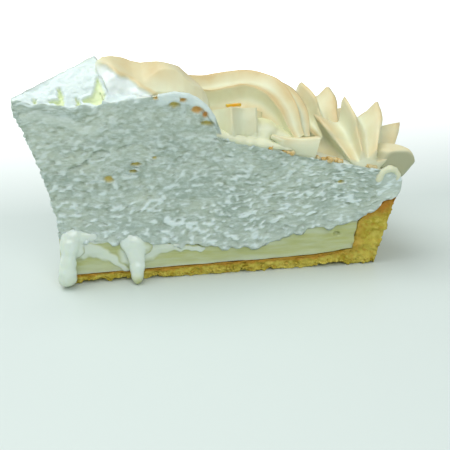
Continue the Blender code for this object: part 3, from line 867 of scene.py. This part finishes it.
def cut_relief(points, waves, band, film, below_edge):
    """How far its bumps move the cut foam, which is smooth on the band and the film."""
    long, streak, small, tufts, pits = waves
    calm = ease(ruffle(points, (0.016, 0.016, 0.009), 41.0), 0.12, 0.35)
    busy = between(FOAM_BUSY, points[:, 2]) * (1 - 0.7 * calm) * (1 - 0.9 * np.maximum(band, film))
    upper = ease(points[:, 2], 0.036, 0.052)
    bumps = (0.3 + 0.5 * upper) * long + (0.5 + 0.6 * upper) * streak + (0.8 + 0.5 * upper) * small
    rise = sizes().foam_relief * (0.4 + busy * (bumps + 1.3 * tufts - 0.7 * pits))
    return rise + 0.0007 * band * ease(-below_edge, -0.0040, -0.0016) + 0.0003 * film


def whiteness(points, t, tufts, band):
    """How white the cut foam is, on its tufts, the band and the rind; on the tufts it is partly painted
    highlight.
    """
    flecks = between(FOAM_FLECKS_AND_HIGHLIGHTS, points[:, 2]) * tufts
    return np.maximum.reduce([flecks, 0.8 * band, 0.95 * pale_rind(points, t, tufts)])


def scalloped_edge(points, t):
    """How far the torn top's near edge moves up or down."""
    before_crown = 1 - ease(points[:, 0], 0.019, 0.022)
    share = ease(t, 0.93, 1.0) * (1 - ease(points[:, 1], 0.0, 0.0025)) * before_crown
    return share * (0.0018 * ruffle(points, (0.0052, 1.0, 1.0), 91.0) - 0.0004)


class SLICE_OT_foam(bpy.types.Operator):
    """Make the tall meringue with its cut faces and torn top"""

    bl_idname = "slice.foam"
    bl_label = "Cut meringue"

    def execute(self, context):
        along, across, up = (np.linspace(0, 1, count) for count in MERINGUE_STEPS)
        r, u, t, faces = block_skin(along * MERINGUE_END, across, 1 - (1 - up) ** 1.2)
        low = meringue_floor(r)
        top = meringue_top(r, u)
        edge = near_edge_rise(r, u)
        z = low + (top - low) * t + edge * t ** 8
        below_edge = top + edge - z
        points = wedge_points(r * between(MERINGUE_SIDE, z) / MERINGUE_END, u, z)
        mesh = new_mesh("foam", points, faces)
        outwards = normals_of(mesh)
        near = u <= 0
        cut = near | (u >= 1) | (r <= 0)
        torn = (t >= 1) & (r < TORN_END + TORN_REACH) & ~near
        skirt = np.where(near, (1 - t) ** 10, 0)
        points[:, 2] -= overhang(points) * skirt
        waves = foam_waves(points)
        long, streak, small, tufts, pits = waves
        band = arch_band(points, near, below_edge, long)
        film = smooth_film(points, near)
        bubble, shade, bubble_rise = open_bubbles(points, z, near)
        folds = near_folds(points, near)
        rise = cut_relief(points, waves, band, film, below_edge) + bubble_rise - FOLD_DEPTH * folds
        frayed = points + 0.0006 * np.column_stack([small, streak, long])
        gash = within_any(frayed[:, :2], CREVICES, 0.65)
        tear = torn_lumps(points, u) - CREVICE_DEPTH * gash
        plain = 0.0007 * ruffle(points, 0.009, 61.0) + 0.0002 * ruffle(points, 0.003, 62.0)
        moved = np.where(cut, rise, np.where(torn, tear, plain))
        white = whiteness(points, t, tufts, band)
        ragged = ruffle(points, 0.0060, 51.0)
        points += outwards * np.where(t <= 0, 0.0, moved)[:, None]
        points[:, 1] -= skirt * (0.0008 * (0.6 + ragged) + 0.0006 * ruffle(points, 0.0022, 77.0))
        points[:, 2] += scalloped_edge(points, t)
        browned = 0.45 + 0.5 * ruffle(points, 0.012, 81.0)
        # Painted shade mask: the pits and the folds, kept off the band and the film.
        pits = np.maximum(pits, folds) * (1 - band) * (1 - film)
        move_points(mesh, points)
        note_numbers(
            mesh,
            fleck=np.where(cut, white, 0.86),
            pit=np.where(cut, pits, 0.0),
            toast=np.where(cut | torn, 0.0, browned),
            gash=np.where(torn, gash, 0.0),
            film=film,
            tint=shade,
            bubble=bubble,
        )
        finish_piece("cut_meringue", mesh, foam_finish(), "meringue", "meringue")
        return {"FINISHED"}


# Lemon filling


class SLICE_OT_filling(bpy.types.Operator):
    """Make the lemon filling"""

    bl_idname = "slice.filling"
    bl_label = "Lemon filling"

    def execute(self, context):
        along, across, up = (np.linspace(0, 1, count) for count in FILLING_STEPS)
        r, u, t, faces = block_skin(along * FILLING_END, across, up)
        low = np.minimum(between(PASTRY_INSIDE, r), BASE_THICKNESS) + GAP
        top = between(FILLING_TOP, r)
        z = low + (top - low) * t
        narrower = between(FILLING_SIDE, z) / between(FILLING_SIDE, top)
        points = wedge_points(r * narrower, u, z)
        mesh = new_mesh("filling", points, faces)
        outwards = normals_of(mesh)
        near = u <= 0
        cut = near | (u >= 1)
        wave = 0.0004 * ruffle(points, (0.016, 0.016, 0.004), 2.0)
        wave += 0.0002 * ruffle(points, (0.006, 0.006, 0.0018), 4.0)
        x, height, half_width, half_height = PORE
        away = np.hypot((points[:, 0] - x) / half_width, (points[:, 2] - height) / half_height)
        wave -= np.where(near, PORE_DEPTH * (1 - ease(away, 0.6, 1.2)), 0)
        fray = np.column_stack([ruffle(points, 0.0030, 8.0), ruffle(points, 0.0024, 9.0)])
        smear = within_any(points[:, (0, 2)] + 0.0009 * fray, SMEARS, 0.55)
        smear = np.where(near, smear, 0)
        points += outwards * np.where(cut, wave - 0.0003 + SMEAR_HEIGHT * smear, 0)[:, None]
        drift = ruffle(points, (0.012, 0.012, 0.003), 6.0)
        pale = ease(t + 0.5 * drift, 0.60, 1.15) * between(FILLING_PALE_ABOVE, r)
        pale += 0.40 * ease(0.45 - t + 0.15 * drift, 0.0, 0.45) * between(FILLING_PALE_BELOW, r)
        move_points(mesh, points)
        note_numbers(mesh, pale=np.maximum(pale, 0.85 * smear))
        finish_piece("lemon_layer", mesh, lemon_finish(), "lemon_filling", "lemon_filling")
        return {"FINISHED"}


# Pastry


class SLICE_OT_pastry(bpy.types.Operator):
    """Make the shortcrust base and wall"""

    bl_idname = "slice.pastry"
    bl_label = "Pastry"

    def execute(self, context):
        along = [0.0]
        for span, count in enumerate(PASTRY_SPAN_STEPS):
            along += np.linspace(span, span + 1, count + 1)[1:].tolist()
        across, through = (np.linspace(0, 1, count) for count in PASTRY_STEPS)
        station, u, inwards, faces = block_skin(np.array(along), across, through)
        places = range(len(PASTRY_OUTSIDE))
        outside = [np.interp(station, places, [point[axis] for point in PASTRY_OUTSIDE]) for axis in (0, 1)]
        inside = [np.interp(station, places, [point[axis] for point in PASTRY_INSIDE]) for axis in (0, 1)]
        r, z = (first * (1 - inwards) + second * inwards for first, second in zip(outside, inside))
        points = wedge_points(r, u, z)
        mesh = new_mesh("pastry", points, faces)
        outwards = normals_of(mesh)
        cut = (u <= 0) | (u >= 1)
        crumb = ruffle(points, 0.0032, 1.0) + 0.8 * ruffle(points, 0.0015, 2.0)
        crumb += 0.5 * ruffle(points, 0.0008, 3.0)
        shell = 0.5 * ruffle(points, 0.006, 4.0) + 0.35 * ruffle(points, 0.0022, 5.0)
        relief = sizes().crust_relief
        move = np.where(cut, relief * (1.3 * crumb - 0.5), relief * 0.6 * shell)
        in_base = station < WALL_START
        move = np.where((inwards <= 0) & in_base & ~cut, 0, move)
        points += outwards * move[:, None]
        lift = 0.0007 * ease(ruffle(points, (0.0035, 1.0, 1.0), 6.0), 0.0, 0.4)
        lift += 0.0004 * (ruffle(points, 0.0012, 7.0) + 0.3)
        for x, half_width, height in CHIPS:
            lift += height * np.clip(1 - np.abs(points[:, 0] - x) / half_width, 0, 1) ** 0.6
        lift = np.maximum(lift, 0) * (1 - ease(points[:, 1], 0.0010, 0.0030))
        lower_share = np.clip(1 - inwards / 0.35, 0, 1)
        points[:, 2] += np.where(in_base, lift * lower_share, 0)
        points[:, 2] = np.maximum(points[:, 2], 0)
        patchy = 0.45 * ruffle(points, 0.005, 8.0)
        brown = 0.95 * ease(station + patchy + inwards, 3.6, 4.9)
        line = 0.75 - 0.35 * ease(station, 1.0, 2.0)
        brown = np.maximum(brown, line * ease(inwards + 0.3 * patchy, 0.66, 0.90))
        outside_wall = (inwards <= 0.1) & (station > WALL_START + 0.1) & ~cut
        brown = np.maximum(brown, np.where(outside_wall, 0.25 + 0.25 * ruffle(points, 0.008, 9.0), 0))
        move_points(mesh, points)
        note_numbers(mesh, brown=brown)
        finish_piece("shortcrust", mesh, crust_finish(), "pastry", "pastry_crust")
        return {"FINISHED"}


# Soft meringue along strokes


def blobs_along(strokes):
    """Overlapping blobs along each stroke given in millimetres, a little uneven, in metres."""
    blobs = []
    for route in strokes:
        for start, end in zip(route, route[1:]):
            start, end = np.array(start), np.array(end)
            count = max(2, int(np.linalg.norm((end - start)[:3]) / BLOB_STEP))
            for share in np.linspace(0, 1, count):
                x, y, z, *size = start + (end - start) * share
                swell = 1 + 0.30 * noise.noise((x / 2.2, y / 2.2, z / 2.2))
                sway = 0.35 * noise.noise((z / 3.0, x / 9.0, 4.0))
                width, depth, height = (half * swell * MM for half in size)
                low = max(z * MM, height + 0.05 * MM)
                blobs.append(((x + sway) * MM, y * MM, low, width, depth, height))
    return blobs


class SLICE_OT_runs(bpy.types.Operator):
    """Make the meringue that has run down over the filling and the crust"""

    bl_idname = "slice.runs"
    bl_label = "Runs"

    def execute(self, context):
        mesh = melt("runs", blobs_along(RUNS), voxel=0.00042, smoothing=6)
        points = points_of(mesh)
        points[:, 2] = np.maximum(points[:, 2], 0.0)
        outwards = normals_of(mesh)
        points += outwards * (0.00012 * ruffle(points, 0.0018, 3.0))[:, None]
        points[:, 2] = np.maximum(points[:, 2], 0.0)
        move_points(mesh, points)
        ragged = 0.0002 * ruffle(points, 0.0016, 5.0)
        thin = ease(points[:, 1] + ragged, -0.0013, -0.0002) * ease(-points[:, 2], -0.0160, -0.0130)
        thin = np.maximum(thin, 0.35 * ease(-points[:, 2], -0.0070, -0.0010))
        low_tongue = ease(-points[:, 2], -0.0050, -0.0010) * ease(points[:, 0], 0.015, 0.022)
        note_numbers(mesh, thin=np.maximum(0.85 * thin, 0.90 * low_tongue))
        finish_piece("meringue_runs", mesh, cream_finish(), "meringue")
        return {"FINISHED"}


# Piped meringue


def rope_tree(material):
    """A star-shaped rope of meringue that follows a route, with its crests noted."""
    tree = bpy.data.node_groups.new("Piped rope", "GeometryNodeTree")
    face = tree.interface
    face.new_socket("Route", in_out="INPUT", socket_type="NodeSocketGeometry")
    for name, kind, value in (
        ("Rings", "NodeSocketInt", 120),
        ("Points round", "NodeSocketInt", 128),
        ("Flutes", "NodeSocketFloat", 8.0),
        ("Depth", "NodeSocketFloat", 0.2),
        ("Softness", "NodeSocketFloat", 1.0),
        ("Phase", "NodeSocketFloat", 0.0),
        ("Upright", "NodeSocketBool", True),
        ("Finish", "NodeSocketMaterial", material),
    ):
        face.new_socket(name, in_out="INPUT", socket_type=kind).default_value = value
    face.new_socket("Rope", in_out="OUTPUT", socket_type="NodeSocketGeometry")
    given = add_node(tree, "NodeGroupInput").outputs
    inputs = {"Curve": given["Route"], "Count": given["Rings"]}
    route = add_node(tree, "GeometryNodeResampleCurve", inputs).outputs[0]
    steady = add_node(tree, "GeometryNodeSetCurveNormal", {"Curve": route}, mode="MINIMUM_TWIST").outputs[0]
    upright = add_node(tree, "GeometryNodeSetCurveNormal", {"Curve": route}, mode="Z_UP").outputs[0]
    inputs = {"Switch": given["Upright"], "False": steady, "True": upright}
    route = add_node(tree, "GeometryNodeSwitch", inputs, input_type="GEOMETRY").outputs[0]
    inputs = {"Resolution": given["Points round"], "Radius": 1.0}
    ring = add_node(tree, "GeometryNodeCurvePrimitiveCircle", inputs)
    place = add_node(tree, "GeometryNodeSplineParameter").outputs["Factor"]
    turn = sum_up(tree, "MULTIPLY", place, math.tau)
    half_flutes = sum_up(tree, "MULTIPLY", sum_up(tree, "MULTIPLY", turn, given["Flutes"]), 0.5)
    wave = sum_up(tree, "SINE", half_flutes)
    hollow = sum_up(tree, "POWER", sum_up(tree, "ABSOLUTE", wave), given["Softness"])
    reach = sum_up(tree, "SUBTRACT", 1.0, sum_up(tree, "MULTIPLY", hollow, given["Depth"]))
    crest = sum_up(tree, "SUBTRACT", 1.0, hollow)
    heading = sum_up(tree, "ADD", turn, given["Phase"])
    x = sum_up(tree, "MULTIPLY", reach, sum_up(tree, "COSINE", heading))
    y = sum_up(tree, "MULTIPLY", reach, sum_up(tree, "SINE", heading))
    spot = add_node(tree, "ShaderNodeCombineXYZ", {"X": x, "Y": y}).outputs[0]
    inputs = {"Geometry": ring.outputs[0], "Name": "crest", "Value": crest}
    settings = {"data_type": "FLOAT", "domain": "POINT"}
    star = add_node(tree, "GeometryNodeStoreNamedAttribute", inputs, **settings).outputs[0]
    star = add_node(tree, "GeometryNodeSetPosition", {"Geometry": star, "Position": spot}).outputs[0]
    radius = add_node(tree, "GeometryNodeInputRadius").outputs[0]
    inputs = {"Curve": route, "Profile Curve": star, "Scale": radius, "Fill Caps": True}
    swept = add_node(tree, "GeometryNodeCurveToMesh", inputs).outputs[0]
    inputs = {"Geometry": swept, "Distance": 0.000002}
    solid = add_node(tree, "GeometryNodeMergeByDistance", inputs).outputs[0]
    solid = add_node(tree, "GeometryNodeRealizeInstances", {"Geometry": solid}).outputs[0]
    inputs = {"Geometry": solid, "Material": given["Finish"]}
    solid = add_node(tree, "GeometryNodeSetMaterial", inputs).outputs[0]
    add_node(tree, "NodeGroupOutput", {"Rope": solid})
    return tree


def set_input(modifier, name, value):
    """Set a modifier's input by its socket's identifier."""
    for item in modifier.node_group.interface.items_tree:
        if item.item_type == "SOCKET" and item.in_out == "INPUT" and item.name == name:
            modifier[item.identifier] = value
            return
    raise KeyError(name)


def pipe(tree, name, route, **inputs):
    """The mesh of one rope along (x, y, z, radius) points."""
    curve = bpy.data.curves.new(name, "CURVE")
    curve.dimensions = "3D"
    curve.resolution_u = 24
    spline = curve.splines.new("BEZIER")
    spline.bezier_points.add(len(route) - 1)
    for point, (x, y, z, radius) in zip(spline.bezier_points, route):
        point.co = (x, y, z)
        point.radius = radius
        point.handle_left_type = "AUTO"
        point.handle_right_type = "AUTO"
    holder = bpy.data.objects.new(name, curve)
    bpy.context.scene.collection.objects.link(holder)
    modifier = holder.modifiers.new("Piped rope", "NODES")
    modifier.node_group = tree
    for label, value in inputs.items():
        set_input(modifier, label.replace("_", " "), value)
    return baked(holder)


def rosette_route():
    """An arc round the rosette's middle that follows the domed meringue."""
    middle_x, middle_y = ROSETTE_MIDDLE
    rimwards, pointwards, across = ROSETTE_REACH
    route = []
    for turn in np.linspace(*ROSETTE_TURNS).tolist():
        x = middle_x + (rimwards if turn < 90 else pointwards) * math.cos(math.radians(turn))
        y = middle_y + across * math.sin(math.radians(turn))
        z = float(between(MERINGUE_TOP, math.hypot(x, y)) + between(ROSETTE_LIFT, turn))
        route.append((x, y, z, float(between(ROSETTE_ROPE, turn))))
    return route


def turned(route, turn):
    """The same route further round the pie."""
    return [(*(Matrix.Rotation(turn, 3, "Z") @ Vector(point[:3])), point[3]) for point in route]


ROPES = (  # (CAD node, route, star, upright, how toasted)
    ("piped_rosette", rosette_route(), ROSETTE_STAR, True, 0.95),
    ("rosette_heart", HEART_ROUTE, ROSETTE_STAR, False, 0.55),
    ("rosette_fin", FIN_ROUTE, CROWN_STAR, True, 0.6),
    ("piped_star_far", STAR_ROUTE, ROSETTE_STAR, False, 0.8),
    ("piped_shell_near", SHELL_ROUTE, NEAR_SHELL_STAR, True, 0.75),
    ("piped_shell_far", turned(SHELL_ROUTE, SHELL_TURN), FAR_SHELL_STAR, True, 0.85),
    ("piped_lip", LIP_ROUTE, CROWN_STAR, True, 0.7),
)


def pipe_crown(tree, finish):
    """The smooth browned crown, torn open below a crease on its flank."""
    rope = pipe(tree, "crown", CROWN_ROUTE, Upright=True, Finish=finish, **CROWN_STAR)
    mesh = soften(rope, CROWN_VOXEL, smoothing=28)
    cut_at(mesh, (NEAR_CUT, FAR_CUT, RIDGE))
    mesh = soften(mesh, CROWN_VOXEL, smoothing=2)
    points = points_of(mesh)
    front = ease(points[:, 0], 0.0330, 0.0365)
    points[:, 1] = np.maximum(points[:, 1], 0.0006 + 0.0018 * front)
    x, y, z = points.T
    beyond = -((points - np.array(RIDGE[0])) @ np.array(RIDGE[1]))
    points[:, 2] += between(SAG, x) * ease(z, 0.0620, 0.0710)
    in_front = ease(-y, -0.0140, -0.0080)
    points[:, 2] -= RIDGE_DROP * (1 - ease(beyond, 0.0, 0.0060)) * in_front * ease(z, 0.0600, 0.0680)
    ceiling = np.maximum(between(NEAR_EDGE, x), ARCH_LOW) + ARCH_SLOPE * (y - 0.0024) - 0.0001
    points[:, 2] -= ease(x, 0.0290, 0.0400) * np.maximum(z - ceiling, 0)
    move_points(mesh, points)
    outwards = normals_of(mesh)
    x, y, z = points.T
    before_arch = ease(-x, -0.0372, -0.0360)
    below = between(CREASE, x) - z + 0.0007 * ruffle(points, 0.0040, 4.5)
    torn = ease(below, -0.0002, 0.0005) * in_front * before_arch
    torn = np.maximum(torn, (1 - ease(beyond, 0.0003, 0.0016)) * in_front)
    lumps = 0.9 * ruffle(points, 0.0050, 1.7) + 0.5 * ruffle(points, 0.0021, 2.7)
    rise = torn * (0.0008 * lumps - 0.0007) + (1 - torn) * 0.00035 * ruffle(points, 0.009, 3.7)
    on_crease = np.exp(-((below + 0.0006) / 0.0010) ** 2)
    lip = on_crease * in_front * before_arch * ease(beyond, 0.0010, 0.0030)
    move_points(mesh, points + outwards * (rise + 0.0003 * lip)[:, None])
    skin = 0.50 * ease(z, 0.058, 0.073) * ease(beyond, 0.0, 0.0030) + 0.25 * ruffle(points, 0.010, 5.7)
    note_numbers(mesh, toast=np.maximum(skin * (1 - torn), 0.55 * lip), torn=torn)
    finish_piece("crown_swirl", mesh, finish, "toasted_meringue", "piped_crown")


def add_rope(tree, node, route, star, upright, toasting, finish):
    """One fluted rope of piping, toasted on its crests."""
    inputs = dict(star)
    inputs["Depth"] *= sizes().flute_share
    mesh = pipe(tree, node, route, Upright=upright, Finish=finish, **inputs)
    cut_at(mesh, (NEAR_CUT, FAR_CUT))
    is_lip = node == "piped_lip"
    if is_lip:
        mesh = soften(mesh, voxel=0.00035, smoothing=14)
    points = points_of(mesh)
    outwards = normals_of(mesh)
    wobble = 0.00035 * ruffle(points, 0.011, 1.5) + 0.00012 * ruffle(points, 0.0035, 2.5)
    wobble *= ease(points[:, 1], 0.0004, 0.003)
    move_points(mesh, points + outwards * wobble[:, None])
    crest = 0.5 if is_lip else numbers_of(mesh, "crest")
    lit = np.clip(0.45 + 0.7 * outwards[:, 2], 0, 1)
    toast = toasting * lit * (0.22 + 0.62 * crest ** 0.6) + 0.12 * ruffle(points, 0.008, 3.5)
    note_numbers(mesh, toast=toast)
    if is_lip:
        note_numbers(mesh, shade=0.75 * ease(-outwards[:, 2], -0.75, 0.05))
    finish_piece(node.replace("piped_", "") + "_swirl", mesh, finish, "toasted_meringue", node)


def add_soft(name, strokes, finish, toast):
    """Smooth unpiped meringue along a few strokes, with painted shade in the hollow further into the slice.
    """
    mesh = melt(name, blobs_along(strokes), voxel=0.0004, smoothing=8)
    points = points_of(mesh)
    # Painted shade: the foot is tinted yellower where it lies further into the slice, in the hollow.
    hollow = ease(points[:, 1], 0.0042, 0.0070)
    patches = toast + 0.10 * ruffle(points, 0.006, 8.8)
    note_numbers(mesh, toast=patches, bubble=0.30 * hollow)
    finish_piece(name, mesh, finish, "toasted_meringue")


def add_sliver():
    """A sliver of lemon zest on the heart of the rosette."""
    solid = bmesh.new()
    bmesh.ops.create_cube(solid, size=1.0)
    bmesh.ops.subdivide_edges(solid, edges=solid.edges[:], cuts=7, use_grid_fill=True)
    turn = Matrix.Rotation(ZEST_TURN, 4, "Z")
    solid.transform(Matrix.Translation(ZEST_PLACE) @ turn @ Matrix.Diagonal((*ZEST_SIZE, 1.0)))
    mesh = bpy.data.meshes.new("sliver")
    solid.to_mesh(mesh)
    solid.free()
    points = points_of(mesh)
    points += normals_of(mesh) * (0.00022 * ruffle(points, 0.0011, 6.6))[:, None]
    move_points(mesh, points)
    finish_piece("zest_sliver", mesh, zest_finish(), "toasted_meringue")


class SLICE_OT_piping(bpy.types.Operator):
    """Pipe the crown, the rosette, the shells and the lip"""

    bl_idname = "slice.piping"
    bl_label = "Piping"

    def execute(self, context):
        finish = piped_finish()
        tree = rope_tree(finish)
        pipe_crown(tree, finish)
        add_soft("rosette_foot", FOOT, finish, toast=0.02)
        add_soft("lip_curl", CURL, finish, toast=0.0)
        add_sliver()
        for node, route, star, upright, toasting in ROPES:
            add_rope(tree, node, route, star, upright, toasting, finish)
        return {"FINISHED"}


# Crumbs


def crumb_tree(material):
    """Uneven crumbs scattered over a strip."""
    tree = bpy.data.node_groups.new("Crumbs", "GeometryNodeTree")
    face = tree.interface
    face.new_socket("Strip", in_out="INPUT", socket_type="NodeSocketGeometry")
    for name, kind, value in (
        ("Density", "NodeSocketFloat", 1.0e6),
        ("Seed", "NodeSocketInt", 1),
        ("Smallest", "NodeSocketFloat", 0.0002),
        ("Largest", "NodeSocketFloat", 0.0007),
        ("Finish", "NodeSocketMaterial", material),
    ):
        face.new_socket(name, in_out="INPUT", socket_type=kind).default_value = value
    face.new_socket("Crumbs", in_out="OUTPUT", socket_type="NodeSocketGeometry")
    given = add_node(tree, "NodeGroupInput").outputs
    inputs = {"Mesh": given["Strip"], "Density": given["Density"], "Seed": given["Seed"]}
    spots = add_node(tree, "GeometryNodeDistributePointsOnFaces", inputs).outputs[0]
    lump = add_node(tree, "GeometryNodeMeshIcoSphere", {"Radius": 1.0, "Subdivisions": 3}).outputs[0]
    place = add_node(tree, "GeometryNodeInputPosition").outputs[0]
    inputs = {"Vector": place, "Scale": 1.4, "Detail": 2.0}
    rough = add_node(tree, "ShaderNodeTexNoise", inputs).outputs["Fac"]
    reach = sum_up(tree, "MULTIPLY_ADD", rough, 1.3, 0.3)
    inputs = {0: place, "Scale": reach}
    spot = add_node(tree, "ShaderNodeVectorMath", inputs, operation="SCALE").outputs[0]
    lump = add_node(tree, "GeometryNodeSetPosition", {"Geometry": lump, "Position": spot}).outputs[0]
    inputs = {0: (0.0, 0.0, 0.0), 1: (math.tau, math.tau, math.tau), "Seed": given["Seed"]}
    turn = add_node(tree, "FunctionNodeRandomValue", inputs, data_type="FLOAT_VECTOR").outputs[0]
    inputs = {2: given["Smallest"], 3: given["Largest"], "Seed": given["Seed"]}
    size = add_node(tree, "FunctionNodeRandomValue", inputs, data_type="FLOAT").outputs[1]
    inputs = {"Points": spots, "Instance": lump, "Rotation": turn, "Scale": size}
    crumbs = add_node(tree, "GeometryNodeInstanceOnPoints", inputs).outputs[0]
    crumbs = add_node(tree, "GeometryNodeRealizeInstances", {"Geometry": crumbs}).outputs[0]
    inputs = {"Geometry": crumbs, "Material": given["Finish"]}
    crumbs = add_node(tree, "GeometryNodeSetMaterial", inputs).outputs[0]
    add_node(tree, "NodeGroupOutput", {"Crumbs": crumbs})
    return tree


def scatter(tree, name, edges, depths, count, **inputs):
    """Crumbs over strips along (x, z) edges, between two depths into the slice."""
    points = np.array([(x, depth, z) for edge in edges for x, z in edge for depth in depths])
    faces = np.array([(4 * i, 4 * i + 1, 4 * i + 3, 4 * i + 2) for i in range(len(edges))])
    holder = bpy.data.objects.new(name, new_mesh(name, points, faces))
    bpy.context.scene.collection.objects.link(holder)
    modifier = holder.modifiers.new("Crumbs", "NODES")
    modifier.node_group = tree
    area = sum(math.dist(*edge) for edge in edges) * (depths[1] - depths[0])
    set_input(modifier, "Density", count / area)
    for label, value in inputs.items():
        set_input(modifier, label, value)
    return baked(holder)


class SLICE_OT_crumbs(bpy.types.Operator):
    """Scatter browned meringue crumbs and pastry crumbs along the near edges"""

    bl_idname = "slice.crumbs"
    bl_label = "Crumbs"

    def execute(self, context):
        count = sizes().crumbs
        finish = crumb_finish()
        tree = crumb_tree(finish)
        inputs = {"Seed": 4, "Largest": 0.0011, "Finish": finish}
        mesh = scatter(tree, "browned", BROWNED_EDGES, BROWNED_DEPTHS, count, **inputs)
        finish_piece("browned_crumbs", mesh, finish, "toasted_meringue")
        crust = crust_finish()
        inputs = {"Seed": 9, "Largest": 0.0006, "Finish": crust}
        mesh = scatter(tree, "pastry_bits", BASE_EDGES, BASE_DEPTHS, count, **inputs)
        note_numbers(mesh, brown=np.full(len(mesh.vertices), 0.1))
        finish_piece("pastry_crumbs", mesh, crust, "pastry")
        return {"FINISHED"}


# Stage


def add_light(name, place, size, power):
    """A soft light above, turned to the slice."""
    light = bpy.data.lights.new(name, "AREA")
    light.shape = "RECTANGLE"
    light.size = size[0]
    light.size_y = size[1]
    light.energy = power
    holder = bpy.data.objects.new(name, light)
    holder.location = place
    holder.rotation_euler = (LIGHT_TARGET - Vector(place)).to_track_quat("-Z", "Y").to_euler()
    bpy.context.scene.collection.objects.link(holder)


def add_floor():
    """A plain floor under the slice."""
    solid = bmesh.new()
    bmesh.ops.create_grid(solid, x_segments=8, y_segments=8, size=FLOOR_SIZE)
    mesh = bpy.data.meshes.new("floor")
    solid.to_mesh(mesh)
    solid.free()
    mesh.materials.append(floor_finish())
    floor = bpy.data.objects.new("floor", mesh)
    bpy.context.scene.collection.objects.link(floor)


def add_studio():
    """Even light from all round."""
    world = bpy.data.worlds.new("studio")
    world.use_nodes = True
    background = world.node_tree.nodes["Background"]
    background.inputs["Color"].default_value = STUDIO_LIGHT
    background.inputs["Strength"].default_value = STUDIO_STRENGTH
    bpy.context.scene.world = world
    bpy.context.scene.view_settings.view_transform = "Standard"


def add_camera():
    """A camera that looks down at the near cut face."""
    level = math.cos(CAMERA_RISE)
    back = Vector((math.sin(CAMERA_TURN) * level, -math.cos(CAMERA_TURN) * level, math.sin(CAMERA_RISE)))
    camera = bpy.data.cameras.new("camera")
    camera.lens = CAMERA_LENS
    camera.sensor_width = 36.0
    camera.clip_start = 0.01
    holder = bpy.data.objects.new("camera", camera)
    holder.location = CAMERA_TARGET + back * CAMERA_DISTANCE
    holder.rotation_euler = (-back).to_track_quat("-Z", "Y").to_euler()
    bpy.context.scene.collection.objects.link(holder)
    bpy.context.scene.camera = holder


class SLICE_OT_stage(bpy.types.Operator):
    """Set the floor, the lights and the camera"""

    bl_idname = "slice.stage"
    bl_label = "Stage"

    def execute(self, context):
        add_floor()
        for light in LIGHTS:
            add_light(*light)
        add_studio()
        add_camera()
        return {"FINISHED"}


class SLICE_PT_sidebar(bpy.types.Panel):
    bl_label = "Lemon meringue slice"
    bl_space_type = "VIEW_3D"
    bl_region_type = "UI"
    bl_category = "Pie"

    def draw(self, context):
        for group in (context.scene.slice_sizes, context.scene.slice_colours):
            for name in group.bl_rna.properties.keys():
                if name not in ("name", "rna_type"):
                    self.layout.prop(group, name)
        for operator in OPERATORS:
            self.layout.operator(operator.bl_idname)


OPERATORS = (
    SLICE_OT_pastry,
    SLICE_OT_filling,
    SLICE_OT_foam,
    SLICE_OT_runs,
    SLICE_OT_piping,
    SLICE_OT_crumbs,
    SLICE_OT_stage,
)
CLASSES = (SliceSizes, SliceColours, *OPERATORS, SLICE_PT_sidebar)


def register():
    for part in CLASSES:
        bpy.utils.register_class(part)
    bpy.types.Scene.slice_sizes = bpy.props.PointerProperty(type=SliceSizes)
    bpy.types.Scene.slice_colours = bpy.props.PointerProperty(type=SliceColours)


def unregister():
    del bpy.types.Scene.slice_colours
    del bpy.types.Scene.slice_sizes
    for part in reversed(CLASSES):
        bpy.utils.unregister_class(part)


def main():
    """Make every piece and the stage."""
    register()
    bpy.ops.slice.pastry()
    bpy.ops.slice.filling()
    bpy.ops.slice.foam()
    bpy.ops.slice.runs()
    bpy.ops.slice.piping()
    bpy.ops.slice.crumbs()
    bpy.ops.slice.stage()


if __name__ == "__main__":
    main()
